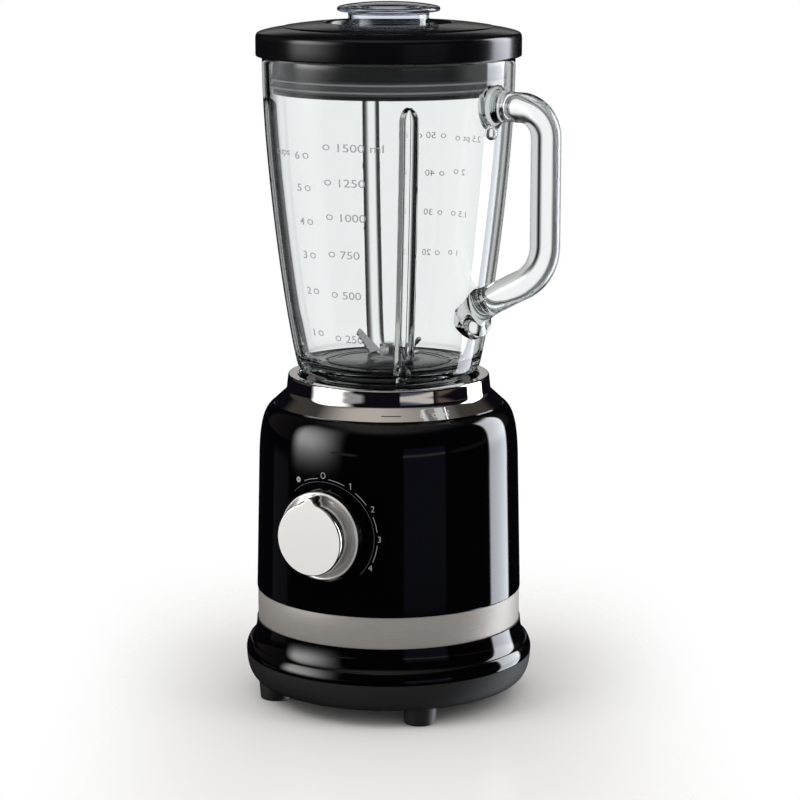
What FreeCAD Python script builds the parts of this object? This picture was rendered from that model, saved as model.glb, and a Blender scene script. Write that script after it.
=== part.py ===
import FreeCAD, Part
import math
import os
from FreeCAD import Vector as V

# Countertop blender.  Millimetres, +Z up, origin on the vertical axis at the
# level of the feet.  The control knob faces -Y and the jug handle points to
# about +X.

# ---------------------------------------------------------------- driving sizes
TOTAL_H = 424.0            # top of the measuring cap
FOOT_R = 70.5              # feet centres from the axis
FOOT_H = 10.0
FOOT_R_TOP = 10.4
FOOT_R_BOT = 9.4

LIP_R = 88.0               # widest ring of the base
LIP_Z = 27.7               # parting plane between cover and ring
RING_TOP = 48.1            # shelf that carries the steel band
BAND_R = 80.5
BAND_T = 0.8
BAND_TOP = 67.5
HOUSING_R = 80.9           # housing at its lower edge
HOUSING_T = 2.6            # housing wall
SHOULDER_R = 70.4
SHOULDER_Z = 182.8
COLLAR_TOP = 200.1
COLLAR_R = 61.4
COLLAR_RI = 54.8

SEAT_RI = 51.8             # jug seat
SEAT_FLOOR = 172.0
BASE_RING_R = 50.6         # screw ring under the jug

JUG_TURN = -5.5            # handle direction, degrees from +X
JUG_RIM = 392.4
GLASS_T = 4.4
NECK_R = 44.4
NECK_RI = 38.5
HANDLE_R = 8.8             # round handle bar
HANDLE_X = 111.5           # bar centre from the axis
RIB_W = 10.5               # moulded rib

LID_R = 79.35
LID_Z = 392.8
CAP_R = 30.6
CAP_TUBE_R = 24.1

KNOB_Z = 115.0
KNOB_R = 26.5
KNOB_GRIP_R = 21.3
KNOB_TIP_R = 3.2
KNOB_TIP = 25.5
KNOB_BACK = -75.7
KNOB_DISC = -78.3
KNOB_FACE = -94.3
POCKET_R = 27.9
POCKET_Y = -75.3

SHAFT_R = 4.0              # motor and blade shafts
RUN = 0.04                 # radial running clearance
BEARING_R = 11.0
ARM_R = 22.7               # armature
BORE_R = 23.4              # stator bore
STATOR_R = 42.0
STACK_Z0, STACK_Z1 = 85.0, 130.0
COMM_R = 11.0

os.makedirs("parts", exist_ok=True)


# ---------------------------------------------------------------- helpers
def profile(start, segs):
    """Closed (r, z) outline in the XZ half plane; returns a face."""
    edges = []
    cur = start

    def p(q):
        return V(q[0], 0, q[1])
    for s in segs + [("L", start)]:
        k = s[0]
        if k == "L":
            if math.hypot(cur[0] - s[1][0], cur[1] - s[1][1]) > 1e-7:
                edges.append(Part.LineSegment(p(cur), p(s[1])).toShape())
                cur = s[1]
        elif k == "A":
            edges.append(Part.Arc(p(cur), p(s[1]), p(s[2])).toShape())
            cur = s[2]
        elif k == "B":
            c = Part.BezierCurve()
            c.setPoles([p(cur)] + [p(q) for q in s[1]])
            edges.append(c.toShape())
            cur = s[1][-1]
        elif k == "S":
            c = Part.BSplineCurve()
            c.interpolate([p(cur)] + [p(q) for q in s[1]])
            edges.append(c.toShape())
            cur = s[1][-1]
    return Part.Face(Part.Wire(edges))


def rev(start, segs, deg=360.0):
    return profile(start, segs).revolve(V(0, 0, 0), V(0, 0, 1), deg)


def poly(pts, deg=360.0):
    return rev(pts[0], [("L", q) for q in pts[1:]], deg)


def cyl(r, z0, z1, x=0.0, y=0.0):
    return Part.makeCylinder(r, z1 - z0, V(x, y, z0))


def ring(ri, ro, z0, z1):
    return cyl(ro, z0, z1).cut(cyl(ri, z0 - 1, z1 + 1))


def ycyl(r, y0, y1, x=0.0, z=0.0):
    return Part.makeCylinder(r, y1 - y0, V(x, y0, z), V(0, 1, 0))


def box(x0, x1, y0, y1, z0, z1):
    return Part.makeBox(x1 - x0, y1 - y0, z1 - z0, V(x0, y0, z0))


def rz(s, deg):
    c = s.copy()
    c.rotate(V(0, 0, 0), V(0, 0, 1), deg)
    return c


def at(r, deg):
    a = math.radians(deg)
    return r * math.cos(a), r * math.sin(a)


def fuse(*s):
    out = s[0]
    for t in s[1:]:
        out = out.fuse(t)
    return out.removeSplitter()


def around(s, angles):
    return [rz(s, a) for a in angles]


def prism(pts, z0, z1):
    w = Part.makePolygon([V(x, y, z0) for x, y in pts] + [V(pts[0][0], pts[0][1], z0)])
    return Part.Face(w).extrude(V(0, 0, z1 - z0))


def sector(r, a0, a1, z0, z1):
    """Wedge from the axis, for cutting rings into arcs."""
    n = max(2, int(abs(a1 - a0) / 30) + 1)
    pts = [(0, 0)] + [at(r, a0 + (a1 - a0) * i / n) for i in range(n + 1)]
    return prism(pts, z0, z1)


def hexa(af, z0, z1, x=0.0, y=0.0):
    r = af / 2 / math.cos(math.pi / 6)
    return prism([(x + r * math.cos(math.pi / 3 * i), y + r * math.sin(math.pi / 3 * i))
                  for i in range(6)], z0, z1)


def screw(x, y, z_head, head_h, z_tip, r_head, r_shank):
    """Pan-head screw driven upwards, with a cross recess in the head."""
    h = cyl(r_head, z_head, z_head + head_h, x, y)
    h = h.makeFillet(min(0.6, head_h * 0.3), [e for e in h.Edges
                     if abs(e.BoundBox.ZMax - z_head) < 1e-6 and e.BoundBox.ZLength < 1e-6])
    s = fuse(h, cyl(r_shank, z_head + head_h - 0.2, z_tip - r_shank, x, y),
             Part.makeCone(r_shank, r_shank * 0.3, r_shank, V(x, y, z_tip - r_shank)))
    for a in (0, 90):
        b = Part.makeBox(r_head * 1.1, 0.9, head_h * 0.5, V(-r_head * 0.55, -0.45, 0))
        b.rotate(V(0, 0, 0), V(0, 0, 1), a)
        b.translate(V(x, y, z_head - 0.01))
        s = s.cut(b)
    return s


SEEN = []


def save(name, shapes):
    if not isinstance(shapes, (list, tuple)):
        shapes = [shapes]
    solids = []
    for s in shapes:
        solids += s.Solids
    comp = solids[0] if len(solids) == 1 else Part.makeCompound(solids)
    ok = all(s.isValid() and s.Volume > 0 for s in solids)
    SEEN.append(name)
    print("%-20s %2d solids  %9.1f mm3  %s" % (name, len(solids), sum(s.Volume for s in solids),
                                              "ok" if ok else "BAD"))
    comp.exportStep("parts/%s.step" % name)


DIAG = [45, 135, 225, 315]

# ---------------------------------------------------------------- base
# Bottom cover: shallow dish with air slots, four screw bosses and foot holes.
cover_out = rev((0, 10.0), [("L", (78.0, 10.0)), ("S", [(80.3, 10.35), (82.4, 11.4), (84.6, 13.6),
            (86.3, 17.5), (87.3, 22.5), (87.8, 27.6)]), ("L", (0, 27.6))])
cover_in = rev((0, 12.6), [("L", (77.6, 12.6)), ("S", [(79.6, 12.9), (81.0, 13.7), (82.5, 15.3),
           (83.9, 18.6), (84.8, 23.0), (85.2, 27.7)]), ("L", (0, 27.7))])
cover = cover_out.cut(cover_in)
SCREW_R = 76.0
for a in (0, 90, 180, 270):
    x, y = at(SCREW_R, a + 22.5)
    cover = cover.fuse(cyl(5.2, 12.0, 27.6, x, y).common(cover_out))
slots = []
for r0 in (24, 34, 44, 54):
    for k in range(8):
        seg = ring(r0, r0 + 4, 9, 13.2).common(sector(80, k * 45 + 5, k * 45 + 40, 8, 14))
        slots.append(seg)
cover = cover.cut(Part.makeCompound(slots))
for a in (0, 90, 180, 270):
    x, y = at(SCREW_R, a + 22.5)
    cover = cover.cut(cyl(4.2, 9, 15.0, x, y)).cut(cyl(2.1, 9, 30, x, y))
for a in DIAG:
    x, y = at(FOOT_R, a)
    cover = cover.cut(cyl(3.2, 9, 13, x, y))
GLAND_Z = 19.2
cover = cover.cut(ycyl(6.25, 70, 92, 0, GLAND_Z))
save("bottom_cover", cover.removeSplitter())

feet = []
for a in DIAG:
    x, y = at(FOOT_R, a)
    f = Part.makeCone(FOOT_R_BOT, FOOT_R_TOP, FOOT_H, V(x, y, 0))
    f = f.makeFillet(0.9, [e for e in f.Edges if e.BoundBox.ZMax < 1e-6])
    f = f.cut(cyl(3.6, -1, 1.6, x, y))
    f = fuse(f, cyl(3.1, FOOT_H - 0.1, 12.9, x, y),
             Part.makeCone(4.0, 2.6, 2.6, V(x, y, 12.7)))
    feet.append(f)
save("rubber_feet", feet)

# Base ring: gloss plinth with a rolled lip, a concave foot and a hidden neck
# that carries the steel band and locates the housing.
base_ring = rev((85.4, 27.7), [
    ("L", (87.9, 27.7)), ("S", [(88.0, 29.8), (87.1, 32.3), (86.1, 34.9), (85.1, 37.2)]),
    ("S", [(84.5, 37.55), (83.8, 37.0)]),
    ("S", [(82.3, 38.9), (81.55, 42.5), (81.2, 48.1)]),
    ("L", (BAND_R - BAND_T, RING_TOP)), ("L", (BAND_R - BAND_T, BAND_TOP)),
    ("L", (78.0, BAND_TOP)), ("L", (78.0, 72.5)), ("L", (77.5, 73.0)), ("L", (66.0, 73.0)),
    ("L", (66.0, 70.0)), ("L", (75.6, 70.0)), ("L", (75.6, 50.0)), ("L", (79.0, 44.0)),
    ("L", (80.0, 38.5)), ("L", (82.6, 34.0)), ("L", (85.0, 31.0))])
for a in (0, 90, 180, 270):
    x, y = at(SCREW_R, a + 22.5)
    b = cyl(5.2, 27.7, 46.0, x, y)
    rib = rz(box(SCREW_R, 81.0, -2.0, 2.0, 33.0, 46.0), a + 22.5)
    base_ring = base_ring.fuse(b.fuse(rib.common(rev((0, 20), [("L", (80.2, 20)), ("L", (80.2, 60)), ("L", (0, 60))]))))
    base_ring = base_ring.cut(cyl(1.75, 27, 42, x, y))
for a in DIAG:
    x, y = at(70.5, a)
    base_ring = base_ring.cut(cyl(1.9, 60, 80, x, y))
save("base_ring", base_ring.removeSplitter())

save("cover_screws", [screw(*at(SCREW_R, a + 22.5), 12.0, 3.0, 38.0, 3.7, 1.75)
                      for a in (0, 90, 180, 270)])

# Brushed band wrapped round the neck.
save("steel_band", ring(BAND_R - BAND_T, BAND_R, RING_TOP + 0.1, BAND_TOP))

# ---------------------------------------------------------------- housing
hs_out = [("L", (81.0, 67.7)), ("L", (79.15, 148.0)), ("B", [(78.75, 170.0), (76.1, 179.8), (69.5, 182.8)])]
hs_in = [(67.2, 180.2), (69.6, 179.5), (71.7, 177.6), (73.8, 173.6), (75.2, 168.0), (75.9, 160.8),
         (76.3, 152.0), (76.65, 140.0), (76.95, 125.0), (77.3, 108.4), (77.8, 92.6), (78.15, 78.0), (78.2, 67.7)]
house_out = rev((0, 67.7), hs_out + [("L", (0, 182.8))])
house = rev((78.2, 67.7), hs_out + [("L", (56.0, 182.8)), ("L", (56.0, 180.2)), ("L", hs_in[0]), ("S", hs_in[1:])])
pad = ycyl(31.0, -90, -72.5, 0, KNOB_Z).common(house_out)
house = house.fuse(pad)
for a in DIAG:                                   # screw bosses
    x, y = at(70.5, a)
    b = cyl(4.6, 73.3, 95.0, x, y)
    b = b.fuse(rz(box(70.5, 79.0, -2.2, 2.2, 73.3, 95.0), a)).common(house_out)
    house = house.fuse(b)
    house = house.cut(cyl(1.75, 73, 90, x, y))
house = house.cut(ycyl(POCKET_R, -95, POCKET_Y, 0, KNOB_Z))
house = house.cut(ycyl(4.7, -95, -70, 0, KNOB_Z))
for a in DIAG:                                   # collar screw holes
    x, y = at(61.5, a + 10)
    house = house.cut(cyl(1.9, 178, 185, x, y))
save("motor_housing", house.removeSplitter())

save("housing_screws", [screw(*at(70.5, a), 67.4, 2.6, 88.0, 3.3, 1.75) for a in DIAG])

# Chromed collar, hollow underneath, with four screw bosses.
col_pts = [("L", (69.5, 182.8)), ("L", (69.75, 183.15)), ("L", (63.4, 188.95)),
           ("A", (62.4, 190.35), (62.0, 192.0)), ("L", (61.25, 198.8)),
           ("A", (60.9, 199.75), (60.0, 200.1)), ("L", (56.1, 200.1)),
           ("A", (55.2, 199.75), (54.8, 198.8)), ("L", (54.8, 182.8))]
collar_full = rev((54.8, 182.8), col_pts)
collar_hollow = rev((57.0, 182.0), [("L", (67.0, 182.0)), ("L", (67.0, 182.9)), ("L", (61.2, 187.9)),
                    ("L", (59.8, 190.4)), ("L", (59.3, 197.4)), ("L", (57.0, 197.4))])
collar = collar_full.cut(collar_hollow)
for a in DIAG:
    x, y = at(61.5, a + 10)
    collar = collar.fuse(cyl(3.3, 182.8, 190.0, x, y).common(collar_full))
for a in DIAG:
    x, y = at(61.5, a + 10)
    collar = collar.cut(cyl(1.5, 182, 186.6, x, y))
save("collar_ring", collar.removeSplitter())
save("collar_screws", [screw(*at(61.5, a + 10), 174.7, 2.4, 186.4, 3.0, 1.5) for a in DIAG])

# Jug seat: cup let into the housing deck; slots in its wall take the lugs of
# the jug, and posts below carry the motor on rubber mounts.
seat = poly([(21.0, 169.0), (54.6, 169.0), (54.6, 177.1), (66.0, 177.1), (66.0, 180.2), (54.7, 180.2),
             (54.7, 196.8), (53.6, 197.8), (52.8, 197.8), (51.8, 196.8), (51.8, SEAT_FLOOR),
             (23.5, SEAT_FLOOR), (23.5, 176.4), (21.0, 176.4)])
LUG_A = [JUG_TURN + 30 + 90 * k for k in range(4)]
for a in LUG_A:
    sl = ring(51.0, 53.9, 174.6, 199.0).common(sector(70, a - 7.5, a + 23.0, 170, 205))
    seat = seat.cut(sl)
for a in DIAG:
    x, y = at(46.0, a)
    seat = seat.fuse(cyl(5.0, 160.0, 169.5, x, y))
    x, y = at(61.5, a + 10)
    seat = seat.cut(cyl(1.9, 176, 182, x, y))
PIN_Y = 42.0
seat = seat.fuse(box(-13.0, -10.3, 36.0, 48.0, 138.0, 169.5)).fuse(box(10.3, 13.0, 36.0, 48.0, 138.0, 169.5))
seat = seat.fuse(cyl(4.6, 163.5, 169.5, 0, PIN_Y))
seat = seat.cut(cyl(1.55, 160, 174, 0, PIN_Y)).cut(cyl(3.2, 160, 167.4, 0, PIN_Y))
save("jug_seat", seat.removeSplitter())

# Cord gland in the rear wall of the cover.
gland = ycyl(6.2, 74.0, 87.3, 0, GLAND_Z).fuse(ycyl(7.2, 79.0, 82.4, 0, GLAND_Z))
gland = gland.fuse(ycyl(7.4, 86.9, 88.0, 0, GLAND_Z))
gland = gland.cut(ycyl(3.6, 70, 95, 0, GLAND_Z)).cut(cover)
gl = [s for s in gland.Solids if s.Volume > 50]
save("cord_gland", gl)

# ---------------------------------------------------------------- control side
# Rotary switch, its nut, and the knob on the switch shaft.
sw = box(-17, 17, -72.5, -52.0, 98.0, 132.0)
sw = sw.makeFillet(2.0, [e for e in sw.Edges if e.BoundBox.YLength > 15])
sw = sw.fuse(ycyl(4.5, -79.3, -72.0, 0, KNOB_Z))
for x in (-11, 0, 11):
    sw = sw.fuse(box(x - 2.4, x + 2.4, -52.5, -45.0, 103.0, 103.8))
    sw = sw.fuse(box(x - 2.4, x + 2.4, -52.5, -45.0, 125.0, 125.8))
sw = sw.cut(ycyl(3.04, -85, -55.9, 0, KNOB_Z))
save("speed_switch", sw.removeSplitter())

nut = Part.makeCylinder(8.0, 2.2, V(0, POCKET_Y - 2.2, KNOB_Z), V(0, 1, 0))
hx = hexa(13.0, 0, 2.2)
hx.rotate(V(0, 0, 0), V(1, 0, 0), 90)
hx.translate(V(0, POCKET_Y, KNOB_Z))
nut = hx.common(nut).cut(ycyl(4.5, -85, -70, 0, KNOB_Z))
save("switch_nut", nut)

shaft = ycyl(3.0, -91.0, -56.2, 0, KNOB_Z)
shaft = shaft.cut(box(-5, 5, -95, -82.0, KNOB_Z + 1.6, KNOB_Z + 5))
save("switch_shaft", shaft)


def tear(rg, rt, tip, rf, y0, y1):
    """Round grip with a pointer at the top, extruded along Y."""
    d = tip - rt
    ca, cb = rg + rf, rt + rf
    zc = (ca * ca - cb * cb + d * d) / (2 * d)
    xc = math.sqrt(ca * ca - zc * zc)
    ta = (rg * xc / ca, rg * zc / ca)
    tb = (rt * xc / cb, d + rt * (zc - d) / cb)
    mx, mz = (ta[0] + tb[0]) / 2 - xc, (ta[1] + tb[1]) / 2 - zc
    ml = math.hypot(mx, mz)
    mid = (xc + mx / ml * rf, zc + mz / ml * rf)

    def q(a, b):
        return V(a, y0, KNOB_Z + b)
    e = [Part.Arc(q(-ta[0], ta[1]), q(0, -rg), q(ta[0], ta[1])).toShape(),
         Part.Arc(q(ta[0], ta[1]), q(mid[0], mid[1]), q(tb[0], tb[1])).toShape(),
         Part.Arc(q(tb[0], tb[1]), q(0, tip), q(-tb[0], tb[1])).toShape(),
         Part.Arc(q(-tb[0], tb[1]), q(-mid[0], mid[1]), q(-ta[0], ta[1])).toShape()]
    return Part.Face(Part.Wire(e)).extrude(V(0, y1 - y0, 0))


grip = tear(KNOB_GRIP_R, KNOB_TIP_R, KNOB_TIP, 45.0, KNOB_FACE - 1.5, KNOB_DISC + 0.1)
dome = Part.makeSphere(260.0, V(0, KNOB_FACE + 260.0, KNOB_Z))
grip = grip.common(dome)
disc = Part.makeCylinder(KNOB_R, KNOB_BACK - KNOB_DISC, V(0, KNOB_DISC, KNOB_Z), V(0, 1, 0))
disc = disc.makeChamfer(0.5, [e for e in disc.Edges if abs(e.BoundBox.YMax - KNOB_DISC) < 1e-6
                              and e.BoundBox.YLength < 1e-6])
step = Part.makeCone(23.6, 23.0, 1.4, V(0, KNOB_DISC + 0.1, KNOB_Z), V(0, -1, 0))
knob = fuse(grip, disc, step)
hollow = ycyl(17.5, -92.0, -70, 0, KNOB_Z)
boss = ycyl(6.0, -93.0, -81.5, 0, KNOB_Z)
knob = knob.cut(hollow.cut(boss))
knob = knob.cut(shaft.common(ycyl(5, -91.0, -60, 0, KNOB_Z)))
save("control_knob", knob.removeSplitter())

board = box(-70.0, -68.4, -20, 20, 73.0, 112.0)
save("circuit_board", board)
cap_body = box(-68.4, -56.5, -13, 8, 84.0, 98.0)
cap_body = cap_body.makeFillet(1.2, [e for e in cap_body.Edges if e.BoundBox.XLength > 5])
save("filter_capacitor", cap_body)

msw = box(-10.2, 10.2, 37.0, 47.0, 140.0, 149.6)
msw = msw.fuse(box(-8.0, -6.8, 40, 44, 133, 140.5)).fuse(box(6.8, 8.0, 40, 44, 133, 140.5))
save("micro_switch", msw)
pin = fuse(cyl(1.5, 150.2, 173.6, 0, PIN_Y), cyl(2.9, 158.6, 160.0, 0, PIN_Y))
save("interlock_pin", pin)


def coil(r, wire, pitch, h, place):
    hx = Part.makeHelix(pitch, h, r)
    w = Part.Wire([Part.Circle(V(r, 0, 0), V(0, 1, 0), wire).toShape()])
    s = Part.Wire(hx).makePipeShell([w], True, True)
    s.Placement = place
    return s


save("interlock_spring", coil(2.25, 0.3, 1.4, 7.9, FreeCAD.Placement(V(0, PIN_Y, 150.2), FreeCAD.Rotation())))

# ---------------------------------------------------------------- motor, fixed side
stack = cyl(STATOR_R, STACK_Z0, STACK_Z1).common(box(-42, 42, -36, 36, STACK_Z0, STACK_Z1))
stack = stack.cut(cyl(BORE_R, 80, 140))
for a0 in (36, 106, 216, 286):
    stack = stack.cut(ring(25.2, 34.0, 80, 140).common(sector(60, a0, a0 + 38, 70, 150)))
for a in DIAG:
    x, y = at(38.0, a)
    stack = stack.cut(cyl(2.1, 80, 140, x, y))
save("motor_stator", stack.removeSplitter())

coils = []
for s in (0, 180):
    c = ring(25.8, 33.4, 78.0, 137.0).common(sector(60, s - 72, s + 72, 70, 150))
    c = c.cut(ring(20, 40, 84.6, 130.4).common(sector(60, s - 38.5, s + 38.5, 70, 150)))
    coils.append(c)
save("field_coils", coils)


def bearing(z0, z1):
    b = ring(SHAFT_R + RUN, BEARING_R, z0, z1)
    for z in (z0, z1):
        b = b.cut(ring(6.2, 8.9, z - 0.7, z + 0.7))
    return b


save("lower_bearing", bearing(50.0, 57.0))
save("upper_bearing", bearing(150.0, 157.0))


def bracket(z_plate, up, z_leg):
    """Cross-shaped end bracket: hub, four arms and legs down to the stack."""
    p = cyl(17.0, z_plate, z_plate + 3)
    for a in DIAG:
        p = p.fuse(rz(box(0, 44, -6, 6, z_plate, z_plate + 3), a))
        x, y = at(44.0, a)
        p = p.fuse(cyl(6.0, z_plate, z_plate + 3, x, y))
        x, y = at(38.0, a)
        lo, hi = min(z_plate, z_leg), max(z_plate + 3, z_leg)
        p = p.fuse(cyl(4.2, lo, hi, x, y))
    if up:
        p = p.fuse(cyl(14.0, z_plate, 157.0)).cut(cyl(BEARING_R, 150.0, 160))
    else:
        p = p.fuse(cyl(14.0, 50.0, z_plate + 3)).cut(cyl(BEARING_R, 49, 57.0))
    p = p.cut(cyl(5.2, 40, 170))
    for a in DIAG:
        x, y = at(38.0, a)
        p = p.cut(cyl(2.05, 40, 170, x, y))
    return p.removeSplitter()


upper = bracket(147.0, True, STACK_Z1)
lower = bracket(57.0, False, STACK_Z0)
save("upper_bracket", upper)

msc = []
for a in DIAG:
    x, y = at(38.0, a)
    b = fuse(hexa(7.0, 53.4, 57.0, x, y), cyl(2.0, 56.8, 152.6, x, y), )
    msc.append(b)
save("motor_screws", msc)

mounts = []
for a in DIAG:
    x, y = at(46.0, a)
    m = cyl(5.8, 150.0, 160.0, x, y)
    waist = ring(4.9, 8.0, 153.4, 156.6)
    waist.translate(V(x, y, 0))
    mounts.append(m.cut(waist))
# the through bolts' tips pass beside the mounts
save("vibration_mounts", [m.cut(cyl(2.6, 149, 154, *at(38.0, a))) for m, a in zip(mounts, DIAG)])

holders, brushes, springs = [], [], []
for s in (90, 270):
    h = box(12.4, 36.0, -4.8, 4.8, 65.6, 76.4).fuse(box(18.0, 32.0, -4.8, 4.8, 60.0, 66.0))
    h = h.cut(box(11.0, 34.6, -3.3, 3.3, 67.1, 74.9))
    holders.append(rz(h, s))
    b = box(COMM_R + 0.3, 24.0, -3.2, 3.2, 67.2, 74.8)
    brushes.append(rz(b, s))
    pl = FreeCAD.Placement(V(24.3, 0, 71.0), FreeCAD.Rotation(V(0, 1, 0), 90))
    c = coil(2.3, 0.3, 1.7, 9.9, pl)
    c.rotate(V(0, 0, 0), V(0, 0, 1), s)
    springs.append(c)
# the holders stand on two tabs of the lower bracket
tabs = [rz(box(10.0, 33.0, -6.0, 6.0, 57.0, 60.0), s) for s in (90, 270)]
lower = lower.fuse(tabs[0].cut(cyl(12, 50, 70))).fuse(tabs[1].cut(cyl(12, 50, 70))).removeSplitter()
save("lower_bracket", lower)
save("brush_holders", holders)
save("carbon_brushes", brushes)
save("brush_springs", springs)

# ---------------------------------------------------------------- motor, turning side
mshaft = cyl(SHAFT_R, 33.0, 176.0)
mshaft = mshaft.makeChamfer(0.6, [e for e in mshaft.Edges if e.BoundBox.ZLength < 1e-6 and len(e.Vertexes) == 1])
save("motor_shaft", mshaft)

core = ring(SHAFT_R, ARM_R, STACK_Z0, STACK_Z1)
wind = ring(7.0, 20.4, 80.6, STACK_Z0).fuse(ring(7.0, 20.4, STACK_Z1, 138.0))
for k in range(12):
    core = core.cut(rz(box(14.0, 26.0, -1.3, 1.3, 80, 140), k * 30))
    wind = wind.fuse(rz(box(14.2, 20.2, -1.2, 1.2, 82, 136), k * 30))
save("armature_core", core)
save("armature_windings", wind.removeSplitter())

comm = ring(SHAFT_R, COMM_R, 63.0, 79.0).fuse(ring(SHAFT_R, 12.6, 78.0, 80.2))
for k in range(24):
    comm = comm.cut(rz(box(10.2, 14.0, -0.25, 0.25, 60, 85), k * 15))
save("commutator", comm)

fan = ring(SHAFT_R, 9.0, 35.0, 48.0).fuse(ring(8.0, 41.0, 36.0, 37.6))
for k in range(9):
    b = box(0, 32.5, -0.8, 0.8, 37.0, 47.0)
    b.rotate(V(0, 0, 0), V(0, 0, 1), 28)
    b.translate(V(8.0, 0, 0))
    fan = fan.fuse(rz(b, k * 40).common(cyl(41.0, 30, 50)))
fan = fan.cut(cyl(SHAFT_R, 30, 50))
save("cooling_fan", fan.removeSplitter())


def lugs(angles, half, ri, ro, z0, z1):
    out = []
    for a in angles:
        out.append(ring(ri, ro, z0, z1).common(sector(40, a - half, a + half, z0 - 2, z1 + 2)))
    return out


drive = fuse(ring(SHAFT_R, 14.0, 173.0, 177.5), ring(SHAFT_R, 7.0, 164.0, 173.5),
             *lugs([0, 90, 180, 270], 10, 6.0, 13.5, 177.0, 183.0))
drive = drive.fuse(cyl(SHAFT_R + 0.5, 176.0, 177.5))
save("drive_coupling", drive.removeSplitter())

# ---------------------------------------------------------------- jug
driven = fuse(ring(SHAFT_R, 14.0, 183.6, 187.5), *lugs([45, 135, 225, 315], 10, 6.0, 13.5, 178.2, 184.0))
save("driven_coupling", driven)

bshaft = fuse(cyl(SHAFT_R, 184.0, 218.3), cyl(6.4, 206.6, 208.4))
bshaft = bshaft.makeFillet(1.2, [e for e in bshaft.Edges if abs(e.BoundBox.ZMin - 218.3) < 1e-6])
save("blade_shaft", bshaft)

bush = ring(SHAFT_R + RUN, 6.5, 188.1, 202.6)
save("blade_bush", bush)
seal = poly([(SHAFT_R + RUN, 202.6), (6.5, 202.6), (6.5, 206.0), (5.4, 206.0), (SHAFT_R + RUN, 205.0)])
save("shaft_seal", seal)

carrier = rev((6.5, 188.1), [("L", (11.0, 188.1)), ("L", (11.6, 200.5)), ("L", (34.6, 200.5)), ("L", (34.6, 176.9)),
              ("L", (43.6, 176.9)), ("L", (43.6, 178.1)), ("L", (38.2, 178.1)), ("L", (38.2, 203.8)),
              ("A", (37.6, 205.2), (36.2, 205.6)), ("L", (14.0, 205.6)), ("L", (12.0, 206.2)), ("L", (6.5, 206.2))])
save("blade_carrier", carrier)

jring = poly([(30.0, 174.0), (49.6, 174.0), (BASE_RING_R, 175.0), (BASE_RING_R, 195.6), (49.8, 196.6),
              (NECK_R + 0.1, 196.6), (NECK_R + 0.1, 176.9), (30.0, 176.9)])
for a in LUG_A:
    lug = ring(49.5, 53.5, 175.4, 182.4).common(sector(70, a - 6, a + 6, 170, 190))
    jring = jring.fuse(lug)
save("jug_base_ring", jring.removeSplitter())
save("jug_gasket", ring(38.5, 43.8, 178.2, 179.9))

# Pressed-glass jug: turned body with four moulded ribs and a round handle.
WALL_OUT = [(56.45, 211.0), (59.3, 225.0), (62.55, 245.0), (65.32, 265.0), (67.84, 285.0), (70.15, 305.0),
            (72.1, 325.0), (73.65, 345.0), (74.8, 365.0), (75.45, 380.0), (75.7, 390.6)]
WALL_IN = [(71.4, 390.6), (71.15, 380.0), (70.45, 365.0), (69.2, 345.0), (67.6, 325.0), (65.55, 305.0),
           (63.15, 285.0), (60.5, 265.0), (57.5, 245.0), (54.0, 225.0), (51.3, 213.5)]


def jug_out(d=0.0):
    return rev((0, 180.0), [("L", (NECK_R, 180.0)), ("L", (NECK_R, 197.4)),
               ("A", (45.3, 199.4), (47.3, 200.6)), ("L", (52.0 - d, 202.2)),
               ("A", (54.4 - d, 203.8), (55.4 - d, 206.4)),
               ("S", [(r - d, z) for r, z in WALL_OUT]), ("A", (73.55 - d, JUG_RIM), (71.4 - d, 390.6)),
               ("L", (0, 390.6))])


def jug_in(d=0.0, top=400.0):
    pts = [(r - d, z) for r, z in WALL_IN]
    return rev((0, top), [("L", (pts[0][0], top)), ("L", pts[0]), ("S", pts[1:]),
               ("A", (49.2 - d, 208.6), (44.2 - d, 206.6)), ("L", (40.0, 206.2)),
               ("A", (38.9, 205.7), (38.5, 204.6)), ("L", (38.5, 175.0)), ("L", (0, 175.0))])


def arch(w, z0, z1, r0, r1):
    """Upright footprint with a pointed top, reaching from r0 to r1 along +X."""
    e = [Part.LineSegment(V(r0, -w / 2, z0), V(r0, w / 2, z0)).toShape(),
         Part.LineSegment(V(r0, w / 2, z0), V(r0, w / 2, z1 - w * 1.15)).toShape(),
         Part.Arc(V(r0, w / 2, z1 - w * 1.15), V(r0, w * 0.31, z1 - w * 0.48), V(r0, 0, z1)).toShape(),
         Part.Arc(V(r0, 0, z1), V(r0, -w * 0.31, z1 - w * 0.48), V(r0, -w / 2, z1 - w * 1.15)).toShape(),
         Part.LineSegment(V(r0, -w / 2, z1 - w * 1.15), V(r0, -w / 2, z0)).toShape()]
    return Part.Face(Part.Wire(e)).extrude(V(r1 - r0, 0, 0))


outer = jug_out()
inner = jug_in()
groove_band = jug_out(-6.0).cut(jug_out(1.7))
groove = groove_band.common(arch(RIB_W, 203.2, 366.0, 40, 90))
rib_band = jug_in(-2.0).cut(jug_in(2.6))
rib = rib_band.common(arch(RIB_W - 1.5, 207.5, 362.0, 40, 90))
cutter = inner
body = outer
for a in DIAG:
    cutter = cutter.cut(rz(rib, a))
    body = body.cut(rz(groove, a))

# handle centre line: top arm, bend, grip, lower bend, sloping arm
slope = math.radians(26.5)
P = [V(69.0, 0, 365.6), V(HANDLE_X, 0, 365.6), V(HANDLE_X, 0, 270.2), V(58.0, 0, 270.2 - (HANDLE_X - 58.0) * math.tan(slope))]


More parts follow.
